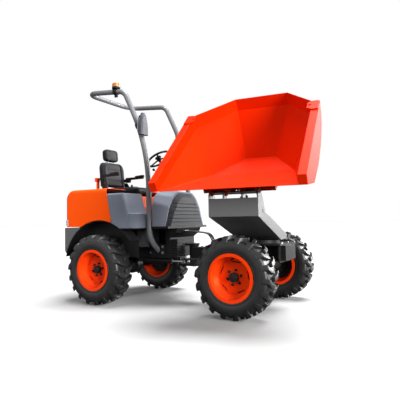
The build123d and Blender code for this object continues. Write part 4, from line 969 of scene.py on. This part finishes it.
def makeControls(look):
    # the drive lever beside the console and a pedal on each side of it
    low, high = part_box("console")
    root = Vector((high.x, middle, high.z)) + Vector(look["leverRoot"])
    reach = Vector(look["leverReach"])
    tall = reach.length
    r, k = look["stalk"], look["knob"]
    lever = [(0.0, 0.0), (r, 0.0), (r * 0.8, tall - k), (k * 0.7, tall - k * 0.7), (k, tall),
             (k * 0.8, tall + k * 0.6), (k * 0.4, tall + k * 0.92), (0.0, tall + k)]
    bm = bmesh.new()
    addTurned(bm, lever, aim(root, reach), 20)
    sharpPiece(bm, "driveLever", blackPlastic, "rear_chassis", 50.0)
    tilt = Matrix.Rotation(math.radians(look["pedalTilt"]), 4, "Y")
    bm = bmesh.new()
    for side in (-1, 1):
        above = (low.x - look["pedalBack"], middle + side * look["pedalOut"], look["above"])
        foot = onSurface("platform", above, (0, 0, -1)).translation
        addBlock(bm, foot + Vector(look["pedalPlace"]), look["pedal"], 0.003, 2, tilt)
        addBlock(bm, foot + Vector(look["armPlace"]), look["arm"], 0.002, 2, tilt)
    sharpPiece(bm, "pedals", blackPlastic, "rear_chassis")


makeControls(controlLook)

hornLook = {"centre": (-0.5519, 1.6266), "tilt": 32.0, "rise": 0.0165, "radius": 0.037}


def makeHornPad(look):
    # a domed cap with a raised ring on the steering wheel's hub
    tilt = math.radians(look["tilt"])
    axis = Vector((-math.sin(tilt), 0.0, math.cos(tilt)))
    x, z = look["centre"]
    r = look["radius"]
    bm = bmesh.new()
    cap = [(0.0, 0.0), (r, 0.0), (r + 0.002, 0.003), (r, 0.009), (r - 0.006, 0.012), (r - 0.009, 0.010),
           (0.016, 0.013), (0.0, 0.014)]
    addTurned(bm, cap, aim(Vector((x, middle, z)) + axis * look["rise"], axis), 48)
    sharpPiece(bm, "hornPad", blackPlastic, "rear_chassis", 35.0)


makeHornPad(hornLook)
print("controls made")


# camera, floor and lights
cameraLook = {"place": (2.3402, -3.8599, 0.9035), "azimuth": 29.76, "elevation": -2.63, "roll": -1.01,
              "lens": 38.1, "sensor": 36.0}


def makeCamera(look):
    turn = math.radians(look["azimuth"])
    rise = math.radians(look["elevation"])
    back = Vector((math.sin(turn) * math.cos(rise), -math.cos(turn) * math.cos(rise), math.sin(rise)))
    right = Vector((math.cos(turn), math.sin(turn), 0.0))
    up = back.cross(right)
    camera = bpy.data.objects.new("camera", bpy.data.cameras.new("camera"))
    camera.data.lens = look["lens"]
    camera.data.sensor_width = look["sensor"]
    frameAxes = Matrix((right, up, back)).transposed().to_4x4()
    camera.matrix_world = (Matrix.Translation(look["place"]) @ frameAxes
                           @ Matrix.Rotation(math.radians(look["roll"]), 4, "Z"))
    scene.collection.objects.link(camera)
    scene.camera = camera


makeCamera(cameraLook)

stageLook = {"floorSize": 60.0, "floorColour": (0.30, 0.30, 0.30), "floorBounce": (0.06, 0.06, 0.06),
             "floorGlow": 0.02, "ambient": 0.30}


def makeStage(look):
    mesh = bpy.data.meshes.new("floor")
    bm = bmesh.new()
    bmesh.ops.create_grid(bm, x_segments=1, y_segments=1, size=look["floorSize"])
    bm.to_mesh(mesh)
    bm.free()
    floor = bpy.data.objects.new("floor", mesh)
    scene.collection.objects.link(floor)
    m = Finish("floorWhite")
    seen = m.node("ShaderNodeLightPath", output="Is Camera Ray")
    glow = seen * look["floorGlow"]
    colour = m.mix(seen, look["floorBounce"], look["floorColour"])
    mesh.materials.append(m.finish(colour, 0.9, None, {
        "Emission Color": (1.0, 1.0, 1.0), "Emission Strength": glow, "Specular IOR Level": 0.0}))
    world = bpy.data.worlds.new("studio")
    world.use_nodes = True
    world.node_tree.nodes.clear()
    tree = world.node_tree
    path = [addNode(tree, "ShaderNodeLightPath", output=ray)
            for ray in ("Is Camera Ray", "Is Transmission Ray")]
    seen = (path[0] + path[1]).held()
    strength = seen * (1.0 - look["ambient"]) + look["ambient"]
    light = addNode(tree, "ShaderNodeBackground", {}, {"Color": (1.0, 1.0, 1.0), "Strength": strength})
    addNode(tree, "ShaderNodeOutputWorld", {}, {"Surface": light})
    scene.world = world


def makeSun(name, heading, rise, strength, spread):
    # heading is measured from +X towards +Y, rise above the floor
    lamp = bpy.data.objects.new(name, bpy.data.lights.new(name, "SUN"))
    lamp.data.energy = strength
    lamp.data.angle = math.radians(spread)
    turn, lift = math.radians(heading), math.radians(rise)
    source = Vector((math.cos(turn) * math.cos(lift), math.sin(turn) * math.cos(lift), math.sin(lift)))
    lamp.rotation_mode = "QUATERNION"
    lamp.rotation_quaternion = source.to_track_quat("Z", "Y")
    scene.collection.objects.link(lamp)


makeStage(stageLook)
sunTable = {  # name: (heading, rise, strength, spread)
    "topSun": (60.0, 76.0, 9.0, 32.0),
    "cameraSun": (-115.0, 20.0, 1.8, 90.0),
    "frontSun": (-18.0, 13.0, 8.5, 30.0),
    "rimSun": (60.0, 14.0, 4.6, 26.0),
}
for name, settings in sunTable.items():
    makeSun(name, *settings)
scene.view_settings.view_transform = "Standard"
